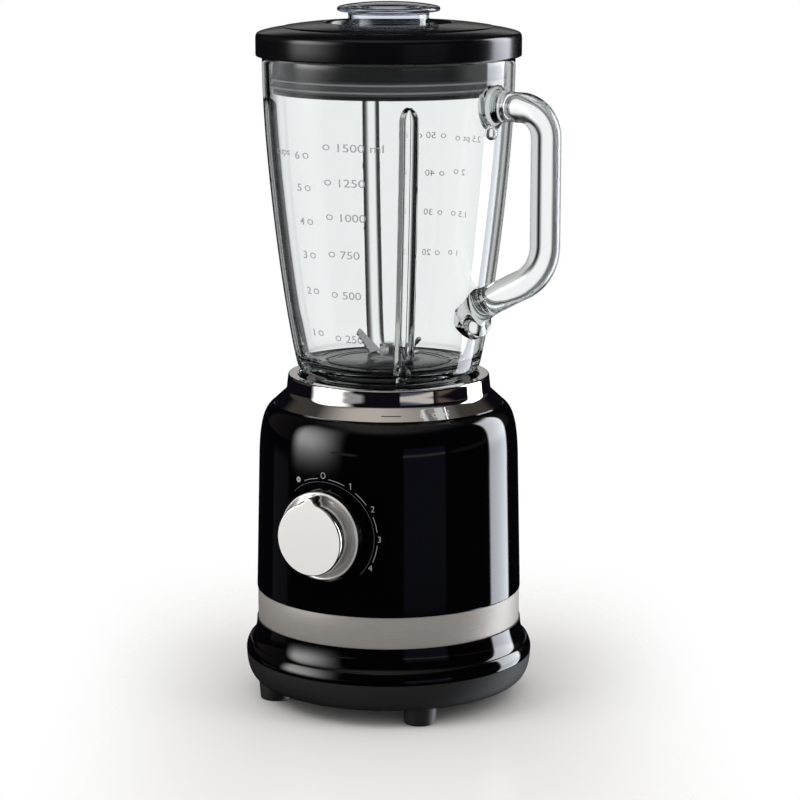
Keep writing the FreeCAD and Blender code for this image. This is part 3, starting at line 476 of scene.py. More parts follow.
def studio_world():
    """White sweep for the eye and for light through glass; dark studio with soft panels for reflections."""
    w = bpy.data.worlds.new("studio")
    scene.world = w
    w.use_nodes = True
    nt = w.node_tree
    nt.nodes.clear()
    N = Nodes(nt)
    out = N.add("ShaderNodeOutputWorld")
    d = N.add("ShaderNodeTexCoord").outputs["Generated"]
    sep = N.add("ShaderNodeSeparateXYZ")
    N.put(sep.inputs[0], d)
    x, y, z = sep.outputs
    c, s = math.cos(AZ), math.sin(AZ)
    right = N.math("ADD", N.math("MULTIPLY", x, c), N.math("MULTIPLY", y, s))
    front = N.math("ADD", N.math("MULTIPLY", x, s), N.math("MULTIPLY", y, -c))
    phi = N.math("MULTIPLY", N.math("ARCTAN2", right, front), 180.0 / math.pi)
    el = N.math("MULTIPLY", N.math("ARCSINE", z), 180.0 / math.pi)
    aphi = N.math("ABSOLUTE", phi)

    base = [0.004, 0.0035, 0.006, 1]

    def add_panel(prev, mask, color):
        m = N.add("ShaderNodeMix", data_type="RGBA", blend_type="MIX")
        N.put(m.inputs[0], mask)
        N.put(m.inputs[6], prev)
        N.put(m.inputs[7], color)
        return m.outputs[2]

    # soft overhead panel, brightest a little left of centre, ending above the object
    over = N.math("MULTIPLY", N.ramp(right, -0.78, -0.28), N.ramp(right, -0.10, 0.80, 1.0, 0.16, "LINEAR"))
    over = N.math("MULTIPLY", over, N.ramp(el, 32.0, 54.0))
    over = N.math("MULTIPLY", over, N.ramp(front, -0.45, -0.05))
    base = add_panel(base, over, [0.50, 0.465, 0.435, 1])
    # dim warm side walls
    side = N.math("MULTIPLY", N.window(aphi, 98.0, 142.0, 6.0), N.window(el, 0.5, 50.0, 1.0))
    base = add_panel(base, side, [0.050, 0.044, 0.041, 1])
    warm = N.math("MULTIPLY", N.window(phi, 56.0, 98.0, 4.0), N.window(el, 0.2, 2.6, 0.5))
    base = add_panel(base, warm, [0.10, 0.075, 0.065, 1])
    sweep = N.math("MULTIPLY", N.ramp(aphi, 164.0, 174.0), N.window(el, 7.6, 15.0, 1.0))
    base = add_panel(base, sweep, [0.42, 0.41, 0.40, 1])
    # broad soft panel, left front: brightest towards its outer edge and above the horizon
    lphi = N.math("MULTIPLY", N.ramp(phi, -98.0, -84.0), N.ramp(phi, -78.0, -38.0, 1.0, 0.0))
    lel = N.math("MULTIPLY", N.ramp(el, -11.5, 9.0, 0.0, 1.0), N.ramp(el, 10.0, 50.0, 1.0, 0.0))
    left = N.math("MULTIPLY", lphi, lel)
    base = add_panel(base, left, [6.0, 5.9, 5.85, 1])
    tail = N.math("MULTIPLY", N.window(phi, -52.0, -29.0, 4.0), N.window(el, 0.7, 2.3, 0.4))
    base = add_panel(base, tail, [0.34, 0.34, 0.35, 1])
    rear = N.math("MULTIPLY", N.window(phi, -122.0, -99.0, 2.0), N.window(el, -16.0, -7.0, 2.5))
    base = add_panel(base, rear, [0.055, 0.055, 0.062, 1])
    # right front panel: faint blue, with a bright slot just above the horizon
    rb = N.math("MULTIPLY", N.window(phi, 13.0, 51.0, 1.2), N.window(el, -13.5, 8.5, 2.0))
    base = add_panel(base, rb, [0.072, 0.076, 0.122, 1])
    rf = N.math("MULTIPLY", N.window(phi, 12.5, 51.0, 1.0), N.window(el, 0.7, 2.3, 0.4))
    base = add_panel(base, rf, [0.56, 0.53, 0.50, 1])
    # strong strip light, right rear
    strip = N.math("MULTIPLY", N.window(phi, 100.5, 129.0, 1.6), N.window(el, -50.0, 34.0, 5.0))
    base = add_panel(base, strip, N.mixc(N.ramp(el, -6.0, 2.0), [5.5, 5.7, 6.2, 1], [7.6, 7.8, 8.3, 1]))
    # seen through glass: the same studio, dimmer, with a pale table below and a narrow white sweep behind
    dim = N.add("ShaderNodeVectorMath", operation="SCALE")
    N.put(dim.inputs[0], base)
    dim.inputs[3].default_value = 0.13
    pale = N.math("MULTIPLY", N.ramp(phi, 148.0, 157.0, 1.0, 0.0), N.ramp(phi, -142.0, -130.0))
    pale = N.math("MULTIPLY", pale, N.ramp(aphi, 62.0, 84.0, 0.30, 1.0))
    through = add_panel(dim.outputs[0], pale, [0.66, 0.67, 0.68, 1])
    through = add_panel(through, N.ramp(el, -24.0, -34.0), [0.52, 0.52, 0.51, 1])

    lp = N.add("ShaderNodeLightPath")
    bg_seen = N.add("ShaderNodeBackground")
    bg_seen.inputs["Color"].default_value = (1, 1, 1, 1)
    bg_seen.inputs["Strength"].default_value = 1.0
    bg_gloss = N.add("ShaderNodeBackground")
    N.put(bg_gloss.inputs["Color"], base)
    bg_diff = N.add("ShaderNodeBackground")
    bg_diff.inputs["Color"].default_value = (1, 1, 1, 1)
    bg_diff.inputs["Strength"].default_value = 0.95
    bg_tr = N.add("ShaderNodeBackground")
    behind = N.math("MULTIPLY", N.ramp(aphi, 159.0, 170.0), N.window(el, -30.0, 14.0, 8.0))
    N.put(bg_tr.inputs["Color"], N.mixc(behind, through, [0.97, 0.978, 0.985, 1]))
    m1 = N.add("ShaderNodeMixShader")
    N.put(m1.inputs[0], lp.outputs["Is Glossy Ray"])
    N.l.new(bg_diff.outputs[0], m1.inputs[1])
    N.l.new(bg_gloss.outputs[0], m1.inputs[2])
    m2 = N.add("ShaderNodeMixShader")
    N.put(m2.inputs[0], lp.outputs["Is Transmission Ray"])
    N.l.new(m1.outputs[0], m2.inputs[1])
    N.l.new(bg_tr.outputs[0], m2.inputs[2])
    m3 = N.add("ShaderNodeMixShader")
    N.put(m3.inputs[0], lp.outputs["Is Camera Ray"])
    N.l.new(m2.outputs[0], m3.inputs[1])
    N.l.new(bg_seen.outputs[0], m3.inputs[2])
    m4 = N.add("ShaderNodeMixShader")
    N.put(m4.inputs[0], N.math("GREATER_THAN", lp.outputs["Diffuse Depth"], 0.5))
    N.l.new(m3.outputs[0], m4.inputs[1])
    N.l.new(bg_diff.outputs[0], m4.inputs[2])
    N.l.new(m4.outputs[0], out.inputs["Surface"])
    w.cycles.sampling_method = "AUTOMATIC"


studio_world()


def area(name, loc, target, size, power, color=(1, 1, 1)):
    li = bpy.data.lights.new(name, "AREA")
    li.shape = "RECTANGLE"
    li.size, li.size_y = size
    li.energy = power
    li.color = color
    ob = bpy.data.objects.new(name, li)
    scene.collection.objects.link(ob)
    ob.location = loc
    ob.rotation_mode = "QUATERNION"
    ob.rotation_quaternion = (Vector(target) - Vector(loc)).to_track_quat("-Z", "Y")
    ob.visible_glossy = False
    ob.visible_transmission = False
    ob.visible_camera = False
    return ob


area("key_soft", (-0.9, -1.3, 1.9), (0, 0, 0.15), (1.2, 1.2), 16.0)
area("fill_soft", (1.8, 0.2, 1.6), (0, 0, 0.15), (1.0, 1.6), 10.0)

fm, N, p, out = material("floor_pale")
co = coords(N)
n = N.noise(co, 6.0, 3.0)
N.put(p.inputs["Base Color"], N.mixc(n, [0.80, 0.79, 0.775, 1], [0.83, 0.82, 0.805, 1]))
p.inputs["Roughness"].default_value = 0.28
p.inputs["Specular IOR Level"].default_value = 0.25
sep = N.add("ShaderNodeSeparateXYZ")
N.put(sep.inputs[0], co)
across = N.math("ADD", N.math("MULTIPLY", sep.outputs[0], math.cos(AZ)), N.math("MULTIPLY", sep.outputs[1], math.sin(AZ)))
along = N.math("ADD", N.math("MULTIPLY", sep.outputs[0], math.sin(AZ)), N.math("MULTIPLY", sep.outputs[1], -math.cos(AZ)))
# alpha mask: the floor shows only in a soft strip under the blender; its grey against the white backdrop is a painted
# dim reflection of the blender in the table
painted_reflection_patch = N.math("MULTIPLY", N.ramp(N.math("ABSOLUTE", across), 0.075, 0.215, 1.0, 0.0), N.ramp(along, -0.34, -0.06))
painted_reflection_patch = N.math("MULTIPLY", painted_reflection_patch, N.ramp(along, 0.55, 0.85, 1.0, 0.0))
N.put(p.inputs["Alpha"], painted_reflection_patch)
floor = new_object("floor", [(-1.2, -1.2, 0), (1.2, -1.2, 0), (1.2, 1.2, 0), (-1.2, 1.2, 0)], [(0, 1, 2, 3)], mats=[fm])
floor.visible_glossy = False
floor.visible_transmission = False

# ------------------------------------------------------------------ base, cover, ring, band
cover_out = [(78.0, 10.0)] + bez((78.0, 10.0), (83.6, 10.2), (87.6, 16.0), (87.8, 27.45), 28)
cover_in = [(85.4, 27.45), (85.3, 27.0)] + bez((85.3, 27.0), (84.9, 17.0), (81.8, 12.9), (77.4, 12.6), 20)
prof = [(0, 10.0)] + cover_out[:-1] + [(87.8, 27.3), (87.55, 27.55)] + cover_in + [(0, 12.6)]
cover = revolve("cover_shell", prof, 256, [M["charcoal"]])


def sector_block(name, r0, r1, a0, a1, z0, z1, seg=16):
    v, f = [], []
    for i in range(seg + 1):
        a = a0 + (a1 - a0) * i / seg
        c, s = math.cos(a), math.sin(a)
        v += [(r0 * c, r0 * s, z0), (r1 * c, r1 * s, z0), (r1 * c, r1 * s, z1), (r0 * c, r0 * s, z1)]
    for i in range(seg):
        a, b = i * 4, (i + 1) * 4
        for k in range(4):
            f.append((a + k, b + k, b + (k + 1) % 4, a + (k + 1) % 4))
    f.append((0, 1, 2, 3))
    e = seg * 4
    f.append((e + 3, e + 2, e + 1, e))
    return [(x * MM, y * MM, z * MM) for x, y, z in v], f


cut_parts = []
for r0 in (24, 34, 44, 54):
    for k in range(8):
        cut_parts.append(sector_block("s", r0, r0 + 4, math.radians(k * 45 + 5), math.radians(k * 45 + 40), 9, 13.5))


def tube_block(r, z0, z1, x, y, seg=40):
    v, f = [], []
    for z in (z0, z1):
        for i in range(seg):
            a = 2 * math.pi * i / seg
            v.append(((x + r * math.cos(a)) * MM, (y + r * math.sin(a)) * MM, z * MM))
    for i in range(seg):
        j = (i + 1) % seg
        f.append((i, j, seg + j, seg + i))
    f.append(tuple(range(seg))[::-1])
    f.append(tuple(range(seg, 2 * seg)))
    return v, f


for a in (22.5, 112.5, 202.5, 292.5):
    x, y = 76.0 * math.cos(math.radians(a)), 76.0 * math.sin(math.radians(a))
    cut_parts.append(tube_block(4.2, 9.0, 15.0, x, y))
cutter = new_object("cut_tmp", *join_arrays(cut_parts))
cover = boolean(cover, cutter)
gv, gf = tube_block(6.25, -92.0, -70.0, 0, 0)
gv = [(x, -z, y + 0.0192) for x, y, z in gv]
cover = boolean(cover, new_object("cut_tmp2", gv, gf))
resmooth(cover, 34)
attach(cover, "base")
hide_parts("bottom_cover")

# feet: tapered rubber pads with a rolled edge and a hollow underside
feet = []
foot_prof = rounded([(0, 1.6), (3.6, 1.6, 0.3), (3.9, 0.0, 0.4), (9.3, 0.0, 1.0), (10.3, 11.6, 0.5), (10.0, 12.2, 0.2), (0, 12.2)], 5, closed=False)
for a in (45, 135, 225, 315):
    v, f = revolve_arrays(foot_prof, 64)
    x, y = 71.8 * MM * math.cos(math.radians(a)), 71.8 * MM * math.sin(math.radians(a))
    feet.append(([(p[0] + x, p[1] + y, p[2]) for p in v], f))
feet = new_object("feet_rubber", *join_arrays(feet), mats=[M["foot"]])
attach(feet, "base")
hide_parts("rubber_feet")

ring_out = [(85.4, 27.7), (87.55, 27.7), (87.85, 27.95)] + bez((87.85, 27.95), (88.05, 29.8), (87.5, 31.8), (86.7, 33.6), 14) \
    + bez((86.7, 33.6), (86.2, 34.7), (85.9, 35.25), (85.4, 35.25), 8) + bez((85.4, 35.25), (85.0, 35.25), (85.0, 34.75), (84.6, 34.85), 6) \
    + bez((84.6, 34.85), (83.2, 36.3), (81.5, 40.5), (81.2, 48.1), 24)
ring_in = rounded([(81.2, 48.1), (79.7, 48.1), (79.7, 67.5), (78.0, 67.5), (78.0, 73.0), (66.0, 73.0), (66.0, 70.0), (75.6, 70.0),
                   (75.6, 50.0), (79.0, 44.0), (80.0, 38.5), (82.6, 34.0), (85.0, 31.0)], 3, closed=False)
ring = revolve("base_ring_gloss", ring_out + ring_in[1:], 320, [M["ring_black"]])
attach(ring, "base")
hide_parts("base_ring")

band = revolve("band_brushed", rounded([(79.75, 48.25), (80.5, 48.25, 0.2), (80.5, 67.4, 0.2), (79.75, 67.4)], 3), 320, [M["band"]])
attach(band, "base")
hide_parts("steel_band")

# ------------------------------------------------------------------ motor housing
KZ = 115.0
def house_r(z):
    return 81.0 - (z - 67.7) * (1.85 / 80.3)


h_out = [(80.4, 67.7), (80.8, 67.78), (80.97, 68.05)] + [(house_r(z), z) for z in np.linspace(70, 148, 40)] \
    + bez((79.15, 148.0), (78.75, 170.0), (76.1, 179.8), (69.5, 182.8), 44)
h_in = [(56.0, 182.8), (56.0, 180.2), (67.2, 180.2)] + bez((67.2, 180.2), (73.6, 178.6), (76.0, 168.0), (76.4, 148.0), 24) \
    + [(78.2, 70.0), (78.2, 67.7)]
housing = revolve("housing_shell", h_out + h_in, 360, [M["gloss_black"]])


def ycyl_block(r, y0, y1, seg=96, z=KZ):
    v, f = tube_block(r, y0, y1, 0, 0, seg)
    return [(a, c, b + z * MM) for a, b, c in v], f


pad = new_object("pad_tmp", *ycyl_block(31.0, -79.0, -72.5, 96))
trim = revolve("trim_tmp", [(0, 60), (80.3, 67.0)] + [(house_r(z) - 0.8, z) for z in np.linspace(70, 148, 20)] + [(0, 148)], 360)
pad = boolean(pad, trim, "INTERSECT")
housing = boolean(housing, pad, "UNION")
housing = boolean(housing, new_object("pocket_tmp", *ycyl_block(27.9, -95.0, -75.3, 128)))
housing = boolean(housing, new_object("hole_tmp", *ycyl_block(4.7, -95.0, -70.0, 48)))
resmooth(housing, 30)
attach(housing, "base")
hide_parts("motor_housing")

# ------------------------------------------------------------------ chrome collar
c_out = [(69.3, 182.85), (69.6, 182.95), (69.72, 183.2)] + [(69.72 + (63.4 - 69.72) * t, 183.2 + (188.95 - 183.2) * t) for t in (0.1, 0.3, 0.5, 0.7, 0.9, 1.0)] \
    + bez((63.4, 188.95), (62.5, 189.8), (62.15, 190.8), (62.0, 192.0), 12) + [(61.62, 195.4), (61.25, 198.7)] \
    + bez((61.25, 198.7), (61.15, 199.7), (60.7, 200.1), (59.9, 200.1), 10) + [(57.8, 200.1), (56.0, 200.1)] \
    + bez((56.0, 200.1), (55.2, 200.1), (54.85, 199.7), (54.8, 198.9), 8)
c_in = [(54.8, 182.85), (57.0, 182.85), (57.0, 197.4), (59.3, 197.4), (59.8, 190.4), (61.2, 187.9), (67.0, 182.85)]
collar = revolve("collar_chrome", c_out + c_in, 360, [M["chrome"]], 30)
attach(collar, "base")
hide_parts("collar_ring")

# ------------------------------------------------------------------ flat marks wrapped on turned surfaces


def text_flat(s, size, weight=0.0, align="CENTER"):
    """Outline of a short generic label as flat polygons (mm), centred on x and on its height."""
    cu = bpy.data.curves.new("t", "FONT")
    cu.body = s
    cu.size = size
    cu.align_x = align
    cu.offset = weight
    cu.resolution_u = 4
    ob = bpy.data.objects.new("t", cu)
    scene.collection.objects.link(ob)
    dg = bpy.context.evaluated_depsgraph_get()
    me = bpy.data.meshes.new_from_object(ob.evaluated_get(dg))
    vs = [(v.co.x, v.co.y) for v in me.vertices]
    fs = [tuple(p.vertices) for p in me.polygons]
    bpy.data.objects.remove(ob, do_unlink=True)
    bpy.data.meshes.remove(me)
    bpy.data.curves.remove(cu)
    if vs:
        y = [v[1] for v in vs]
        mid = (min(y) + max(y)) / 2
        vs = [(a, b - mid) for a, b in vs]
    return vs, fs


def mirror_flat(vf):
    v, f = vf
    return [(-a, b) for a, b in v], [tuple(reversed(q)) for q in f]


def arc_flat(r0, r1, a0, a1, n=24):
    """Ring segment; angles in degrees clockwise from the top."""
    v, f = [], []
    for i in range(n + 1):
        a = math.radians(a0 + (a1 - a0) * i / n)
        v += [(r0 * math.sin(a), r0 * math.cos(a)), (r1 * math.sin(a), r1 * math.cos(a))]
    for i in range(n):
        f.append((2 * i, 2 * i + 1, 2 * i + 3, 2 * i + 2))
    return v, f


def disc_flat(r, n=28):
    return [(r * math.cos(2 * math.pi * i / n), r * math.sin(2 * math.pi * i / n)) for i in range(n)], [tuple(range(n))]


def ring_flat(r0, r1, n=32):
    return arc_flat(r0, r1, 0, 360, n)


def moved(vf, dx, dy):
    v, f = vf
    return [(a + dx, b + dy) for a, b in v], f


def subdivided(vf, step):
    """Splits long edges so that a flat mark can bend round a curved wall."""
    v, f = vf
    bm = bmesh.new()
    bv = [bm.verts.new((a, b, 0)) for a, b in v]
    for q in f:
        try:
            bm.faces.new([bv[i] for i in q])
        except ValueError:
            pass
    bmesh.ops.remove_doubles(bm, verts=bm.verts, dist=1e-5)
    bmesh.ops.triangulate(bm, faces=bm.faces)
    for _ in range(4):
        long = [e for e in bm.edges if e.calc_length() > step]
        if not long:
            break
        bmesh.ops.subdivide_edges(bm, edges=long, cuts=1)
        bmesh.ops.triangulate(bm, faces=[q for q in bm.faces if len(q.verts) > 4])
    bm.verts.index_update()
    out = ([(x.co.x, x.co.y) for x in bm.verts], [tuple(x.index for x in q.verts) for q in bm.faces])
    bm.free()
    return out


def thick(vf, place, t):
    """Closed thin solid: the flat mark mapped by place(u, v, height)."""
    v, f = vf
    n = len(v)
    verts = [place(a, b, t) for a, b in v] + [place(a, b, 0.0) for a, b in v]
    faces = [tuple(q) for q in f] + [tuple(i + n for i in reversed(q)) for q in f]
    cnt = {}
    for q in f:
        for i in range(len(q)):
            e = (q[i], q[(i + 1) % len(q)])
            cnt[e] = cnt.get(e, 0) + 1
    for (a, b) in list(cnt):
        if (b, a) not in cnt:
            faces.append((b, a, a + n, b + n))
    return verts, faces


def on_housing(u, v, h):
    z = KZ + v
    r = house_r(z) + h + 0.01
    a = (u + 1.1) / 79.9 - math.pi / 2
    return (r * math.cos(a) * MM, r * math.sin(a) * MM, z * MM)


marks = []
ONE = ([(-0.20, -1.9), (0.20, -1.9), (0.20, 1.9), (-0.10, 1.9), (-1.05, 1.2), (-0.88, 0.9), (-0.20, 1.35)], [(0, 1, 2, 3, 4, 5, 6)])


def oval_flat(a, b, t, n=44):
    v, f = [], []
    for i in range(n):
        q = 2 * math.pi * i / n
        v += [(math.sin(q) * (a - t), math.cos(q) * (b - t)), (math.sin(q) * a, math.cos(q) * b)]
    for i in range(n):
        k = (i + 1) % n
        f.append((2 * i, 2 * i + 1, 2 * k + 1, 2 * k))
    return v, f


for s, ang, rad in (("0", 0, 36.1), ("1", 30, 35.9), ("2", 60, 36.1), ("3", 90, 35.3), ("4", 120, 34.6)):
    a = math.radians(ang)
    flat = {"0": oval_flat(1.6, 1.9, 0.42), "1": ONE}.get(s) or text_flat(s, 5.3, -0.05)
    marks.append(moved(flat, rad * math.sin(a), rad * math.cos(a)))
pa = math.radians(-30)
marks.append(moved(ring_flat(0.45, 1.7), 36.4 * math.sin(pa), 36.4 * math.cos(pa)))
for a0, a1 in ((-23.0, -6.0), (6.5, 24.0), (37.5, 53.5), (67.0, 83.0), (96.0, 113.5)):
    marks.append(arc_flat(34.08, 34.38, a0, a1, 14))
dial = new_object("dial_marks", *join_arrays([thick(subdivided(m, 2.5), on_housing, 0.06) for m in marks]), mats=[M["print"]])
# thin grey arc round the knob pad, drawn only over the part of the edge that catches light: a painted highlight
painted_rim_arc = new_object("dial_painted_rim_highlight", *thick(arc_flat(32.15, 32.36, -42, 132, 90), on_housing, 0.05), mats=[M["print_dim"]])
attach(painted_rim_arc, "base")
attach(dial, "base")

# small generic lock marks and a position bar on the collar's cone


def on_cone(u, v, h):
    t = (v + 4.3) / 8.6
    r0, z0, r1, z1 = 69.72, 183.2, 63.4, 188.95
    r = r0 + (r1 - r0) * t + h * 0.65
    z = z0 + (z1 - z0) * t + h * 0.76
    a = u / 67.0 - math.pi / 2
    return (r * math.cos(a) * MM, r * math.sin(a) * MM, z * MM)


def rect_flat(x0, y0, x1, y1):
    return [(x0, y0), (x1, y0), (x1, y1), (x0, y1)], [(0, 1, 2, 3)]


def frame_flat(x0, y0, x1, y1, t):
    v = [(x0, y0), (x1, y0), (x1, y1), (x0, y1), (x0 + t, y0 + t), (x1 - t, y0 + t), (x1 - t, y1 - t), (x0 + t, y1 - t)]
    return v, [(0, 1, 5, 4), (1, 2, 6, 5), (2, 3, 7, 6), (3, 0, 4, 7)]


def padlock(u, openness):
    body = moved(frame_flat(-1.45, -1.75, 1.45, 0.45, 0.34), u, 0)
    sh = arc_flat(0.72, 1.0, -90, 90, 14)
    out = [body, moved(sh, u + openness, 0.95), moved(rect_flat(-1.0, 0.47, -0.72, 0.93), u + openness, 0)]
    if openness == 0:
        out.append(moved(rect_flat(0.72, 0.47, 1.0, 0.93), u, 0))
    return out


def at_az(deg):
    return 67.0 * math.radians(deg)


lock = []
for q in padlock(at_az(47.5), 0.0) + padlock(at_az(60.5), 1.9):
    lock.append(q)
lock.append(moved(ring_flat(1.15, 1.42), at_az(54.0), -0.5))
locks = new_object("collar_marks", *join_arrays([thick(subdivided(m, 2.0), on_cone, 0.05) for m in lock]), mats=[M["mark_pale"]])
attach(locks, "base")
dash = new_object("collar_dash", *thick(subdivided(moved(rect_flat(-5.8, -0.3, 5.8, 0.3), at_az(31.2), 0.0), 1.5), on_cone, 0.05), mats=[M["mark_dark"]])
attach(dash, "base")

# ------------------------------------------------------------------ knob


def tear_outline(rg=21.9, rt=4.1, tip=25.3, rf=5.5):
    d = tip - rt
    ca, cb = rg + rf, rt + rf
    zc = (ca * ca - cb * cb + d * d) / (2 * d)
    xc = math.sqrt(ca * ca - zc * zc)
    ta = (rg * xc / ca, rg * zc / ca)
    tb = (rt * xc / cb, d + rt * (zc - d) / cb)
    mx, mz = (ta[0] + tb[0]) / 2 - xc, (ta[1] + tb[1]) / 2 - zc
    ml = math.hypot(mx, mz)
    mid = (xc + mx / ml * rf, zc + mz / ml * rf)
    pts = [(-ta[0], ta[1])]
    pts += arc3((-ta[0], ta[1]), (0, -rg), ta, 150)
    pts += arc3(ta, mid, tb, 24)
    pts += arc3(tb, (0, tip), (-tb[0], tb[1]), 24)
    pts += arc3((-tb[0], tb[1]), (-mid[0], mid[1]), (-ta[0], ta[1]), 24)
    return np.array(pts[:-1])


def offset_outline(P, d):
    """Moves a closed outline inwards by d along its own normals."""
    nxt, prv = np.roll(P, -1, 0), np.roll(P, 1, 0)
    t = nxt - prv
    t /= np.linalg.norm(t, axis=1)[:, None]
    nrm = np.stack([t[:, 1], -t[:, 0]], 1)
    if ((P * nrm).sum(1)).mean() < 0:
        nrm = -nrm
    return P - nrm * d


T = tear_outline()
levels = [(0.35, -77.6), (-0.5, -78.35), (-0.9, -78.6), (-0.35, -79.2), (0.0, -80.6), (0.1, -86.0), (0.2, -92.0)]
for i in range(1, 7):
    a = math.pi / 2 * i / 6
    levels.append((0.2 + 0.8 * (1 - math.cos(a)), -93.1 - 0.8 * math.sin(a)))
kv, kf, rows = [], [], []
for d, y in levels:
    Q = offset_outline(T, d)
    rows.append(range(len(kv), len(kv) + len(Q)))
    kv += [(q[0] * MM, y * MM, (KZ + q[1]) * MM) for q in Q]
Q = offset_outline(T, 1.0)
yf = -93.9
for t in (0.97, 0.9, 0.8, 0.65, 0.5, 0.35, 0.2, 0.08):
    rows.append(range(len(kv), len(kv) + len(Q)))
    kv += [(q[0] * t * MM, (yf - 0.25 * (1 - t * t)) * MM, (KZ + q[1] * t) * MM) for q in Q]
for a, b in zip(rows, rows[1:]):
    n = len(a)
    kf += [(a[i], a[(i + 1) % n], b[(i + 1) % n], b[i]) for i in range(n)]
kf.append(tuple(rows[-1]))
kf.append(tuple(reversed(rows[0])))
grip = (kv, kf)
disc_prof = rounded([(0, -77.2), (17.0, -77.2), (17.0, -75.9), (26.4, -75.9, 0.25), (26.6, -77.4, 0.3), (26.5, -82.2, 0.6), (25.7, -82.9, 0.4),
                     (24.8, -82.5, 0.4), (24.2, -81.2, 0.6), (22.9, -80.5, 0.5), (0, -80.5)], 5, closed=False)
dv, df = revolve_arrays([(r, z) for r, z in disc_prof], 224)
dv = [(x, z, y + KZ * MM) for x, y, z in dv]
M["knob_face"] = metal("knob_face", (0.85, 0.835, 0.815), 0.28, 0.01, 90.0)
M["knob_ring"] = metal("knob_ring", (0.90, 0.885, 0.87), 0.16, 0.02, 900.0)
for key, amount in (("knob_face", 0.22), ("knob_ring", 0.62)):
    for nd in M[key].node_tree.nodes:
        if nd.type == "BSDF_PRINCIPLED":
            nd.inputs["Metallic"].default_value = amount
knob = new_object("knob_polished", *join_arrays([grip, (dv, df)]), smooth_deg=34, mats=[M["knob"], M["knob_face"], M["knob_ring"]])
n_grip = len(grip[1])
for k, q in enumerate(knob.data.polygons):
    yc = sum(knob.data.vertices[i].co.y for i in q.vertices) / len(q.vertices) / MM
    q.material_index = (2 if yc < -80.3 and k >= n_grip else 0) if k >= n_grip else (1 if yc < -93.86 else 0)
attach(knob, "knob")
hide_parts("control_knob")

# ------------------------------------------------------------------ glass jug
PW = np.polyfit((np.array([206.7, 216.6, 226.5, 241.2, 255.9, 270.6, 285.2, 299.8, 314.3, 328.7, 343.1, 357.4, 377.1, 386.0]) - 300) / 100,
                [55.5, 57.7, 59.6, 62.1, 64.1, 65.8, 67.8, 69.8, 71.2, 72.5, 73.6, 74.4, 75.3, 75.7], 4)


def wall_r(z):
    return float(np.polyval(PW, (z - 300.0) / 100.0))


def wall_t(z):
    return 4.2 + max(0.0, (240.0 - z)) * 0.022


j_out = [(44.4, 180.2), (44.4, 197.0)] + bez((44.4, 197.0), (44.5, 199.6), (45.8, 200.4), (48.6, 201.2), 10) \
    + bez((48.6, 201.2), (52.8, 202.2), (54.9, 203.6), (wall_r(208.0), 208.0), 14)
zs = np.concatenate([np.arange(210.0, 346.0, 2.0), np.arange(346.0, 372.0, 0.8), np.arange(372.0, 390.0, 2.0)])
j_out += [(wall_r(z), float(z)) for z in zs]
n_out = len(j_out)
rim = bez((wall_r(389.5), 389.9), (wall_r(389.5), 391.8), (74.6, 392.4), (73.5, 392.4), 8) + bez((73.5, 392.4), (72.2, 392.4), (71.3, 391.6), (71.3, 389.8), 8)
zi = np.concatenate([np.arange(388.0, 370.0, -2.0), np.arange(370.0, 344.0, -0.8), np.arange(344.0, 216.0, -2.0)])
j_in = [(wall_r(z) - wall_t(z), float(z)) for z in zi]
last = j_in[-1]
j_in += bez(last, (last[0] - 1.6, 208.6), (46.8, 206.6), (41.5, 206.2), 16) + bez((41.5, 206.2), (39.8, 206.1), (38.7, 205.8), (38.5, 204.2), 6)
j_in += [(38.5, 195.0), (38.5, 180.2)]
prof = j_out + rim + j_in

ribs = [math.radians(a) for a in (45, 135, 225, 315)]
th = []
for k in range(4):
    c = ribs[k]
    fine = np.linspace(-math.radians(7.0), math.radians(7.0), 45)
    coarse = np.linspace(math.radians(7.0), math.radians(83.0), 72)[1:-1]
    th += list(c + fine) + list(c + coarse)
th = np.array(th)

RIB_TOP, RIB_BOT = 367.6, 203.0


def rib_shape(z, theta, r, half):
    """0..1 cross-section of a rib at this height and angle."""
    if z > RIB_TOP or z < RIB_BOT:
        return 0.0
    d = min(abs(((theta - c + math.pi) % (2 * math.pi)) - math.pi) for c in ribs)
    u = r * d
    w = half
    top = 9.0
    if z > RIB_TOP - top:
        w *= max(0.02, math.sqrt(max(0.0, 1.0 - ((z - (RIB_TOP - top)) / top) ** 2)))
    if z < 212.0:
        w *= max(0.02, math.sqrt(max(0.0, 1.0 - ((212.0 - z) / 9.5) ** 2)))
    if u >= w:
        return 0.0
    q = 1.0 - (u / w) ** 2
    return q * min(1.0, w / half * 1.25)


def jug_r(k, r, z, theta):
    if 2 < k < n_out:
        return r - 0.7 * rib_shape(z, theta, r, 5.0)
    if k >= n_out + 16 and r > 39.5:
        s = rib_shape(z, theta, r, 5.6)
        return r - 3.7 * s if s > 0 else r
    return r


jv, jf = revolve_arrays(prof, rfun=jug_r, thetas=th)
jug = new_object("jug_glass", jv, jf, 50, [M["glass"]])

# handle: round bar whose ends flare into the wall
HX, HZ1, HZ0 = 111.4, 365.9, 270.2
slope = math.radians(26.5)
P0 = np.array([60.0, HZ1])
P1 = np.array([HX, HZ1])
P2 = np.array([HX, HZ0])
P3 = np.array([56.0, HZ0 - (HX - 56.0) * math.tan(slope)])


def corner(a, b, c, r, n):
    u, v = a - b, c - b
    u, v = u / np.linalg.norm(u), v / np.linalg.norm(v)
    half = math.acos(float(u @ v)) / 2
    t = r / math.tan(half)
    cen = b + (u + v) / np.linalg.norm(u + v) * (r / math.sin(half))
    s, e = b + u * t, b + v * t
    m = cen + (b - cen) / np.linalg.norm(b - cen) * r
    return [s] + [np.array(q) for q in arc3(tuple(s), tuple(m), tuple(e), n)]


c1 = corner(P0, P1, P2, 17.0, 26)
c2 = corner(P1, P2, P3, 27.0, 26)


def run(a, b, n):
    return [a + (b - a) * i / n for i in range(1, n)]


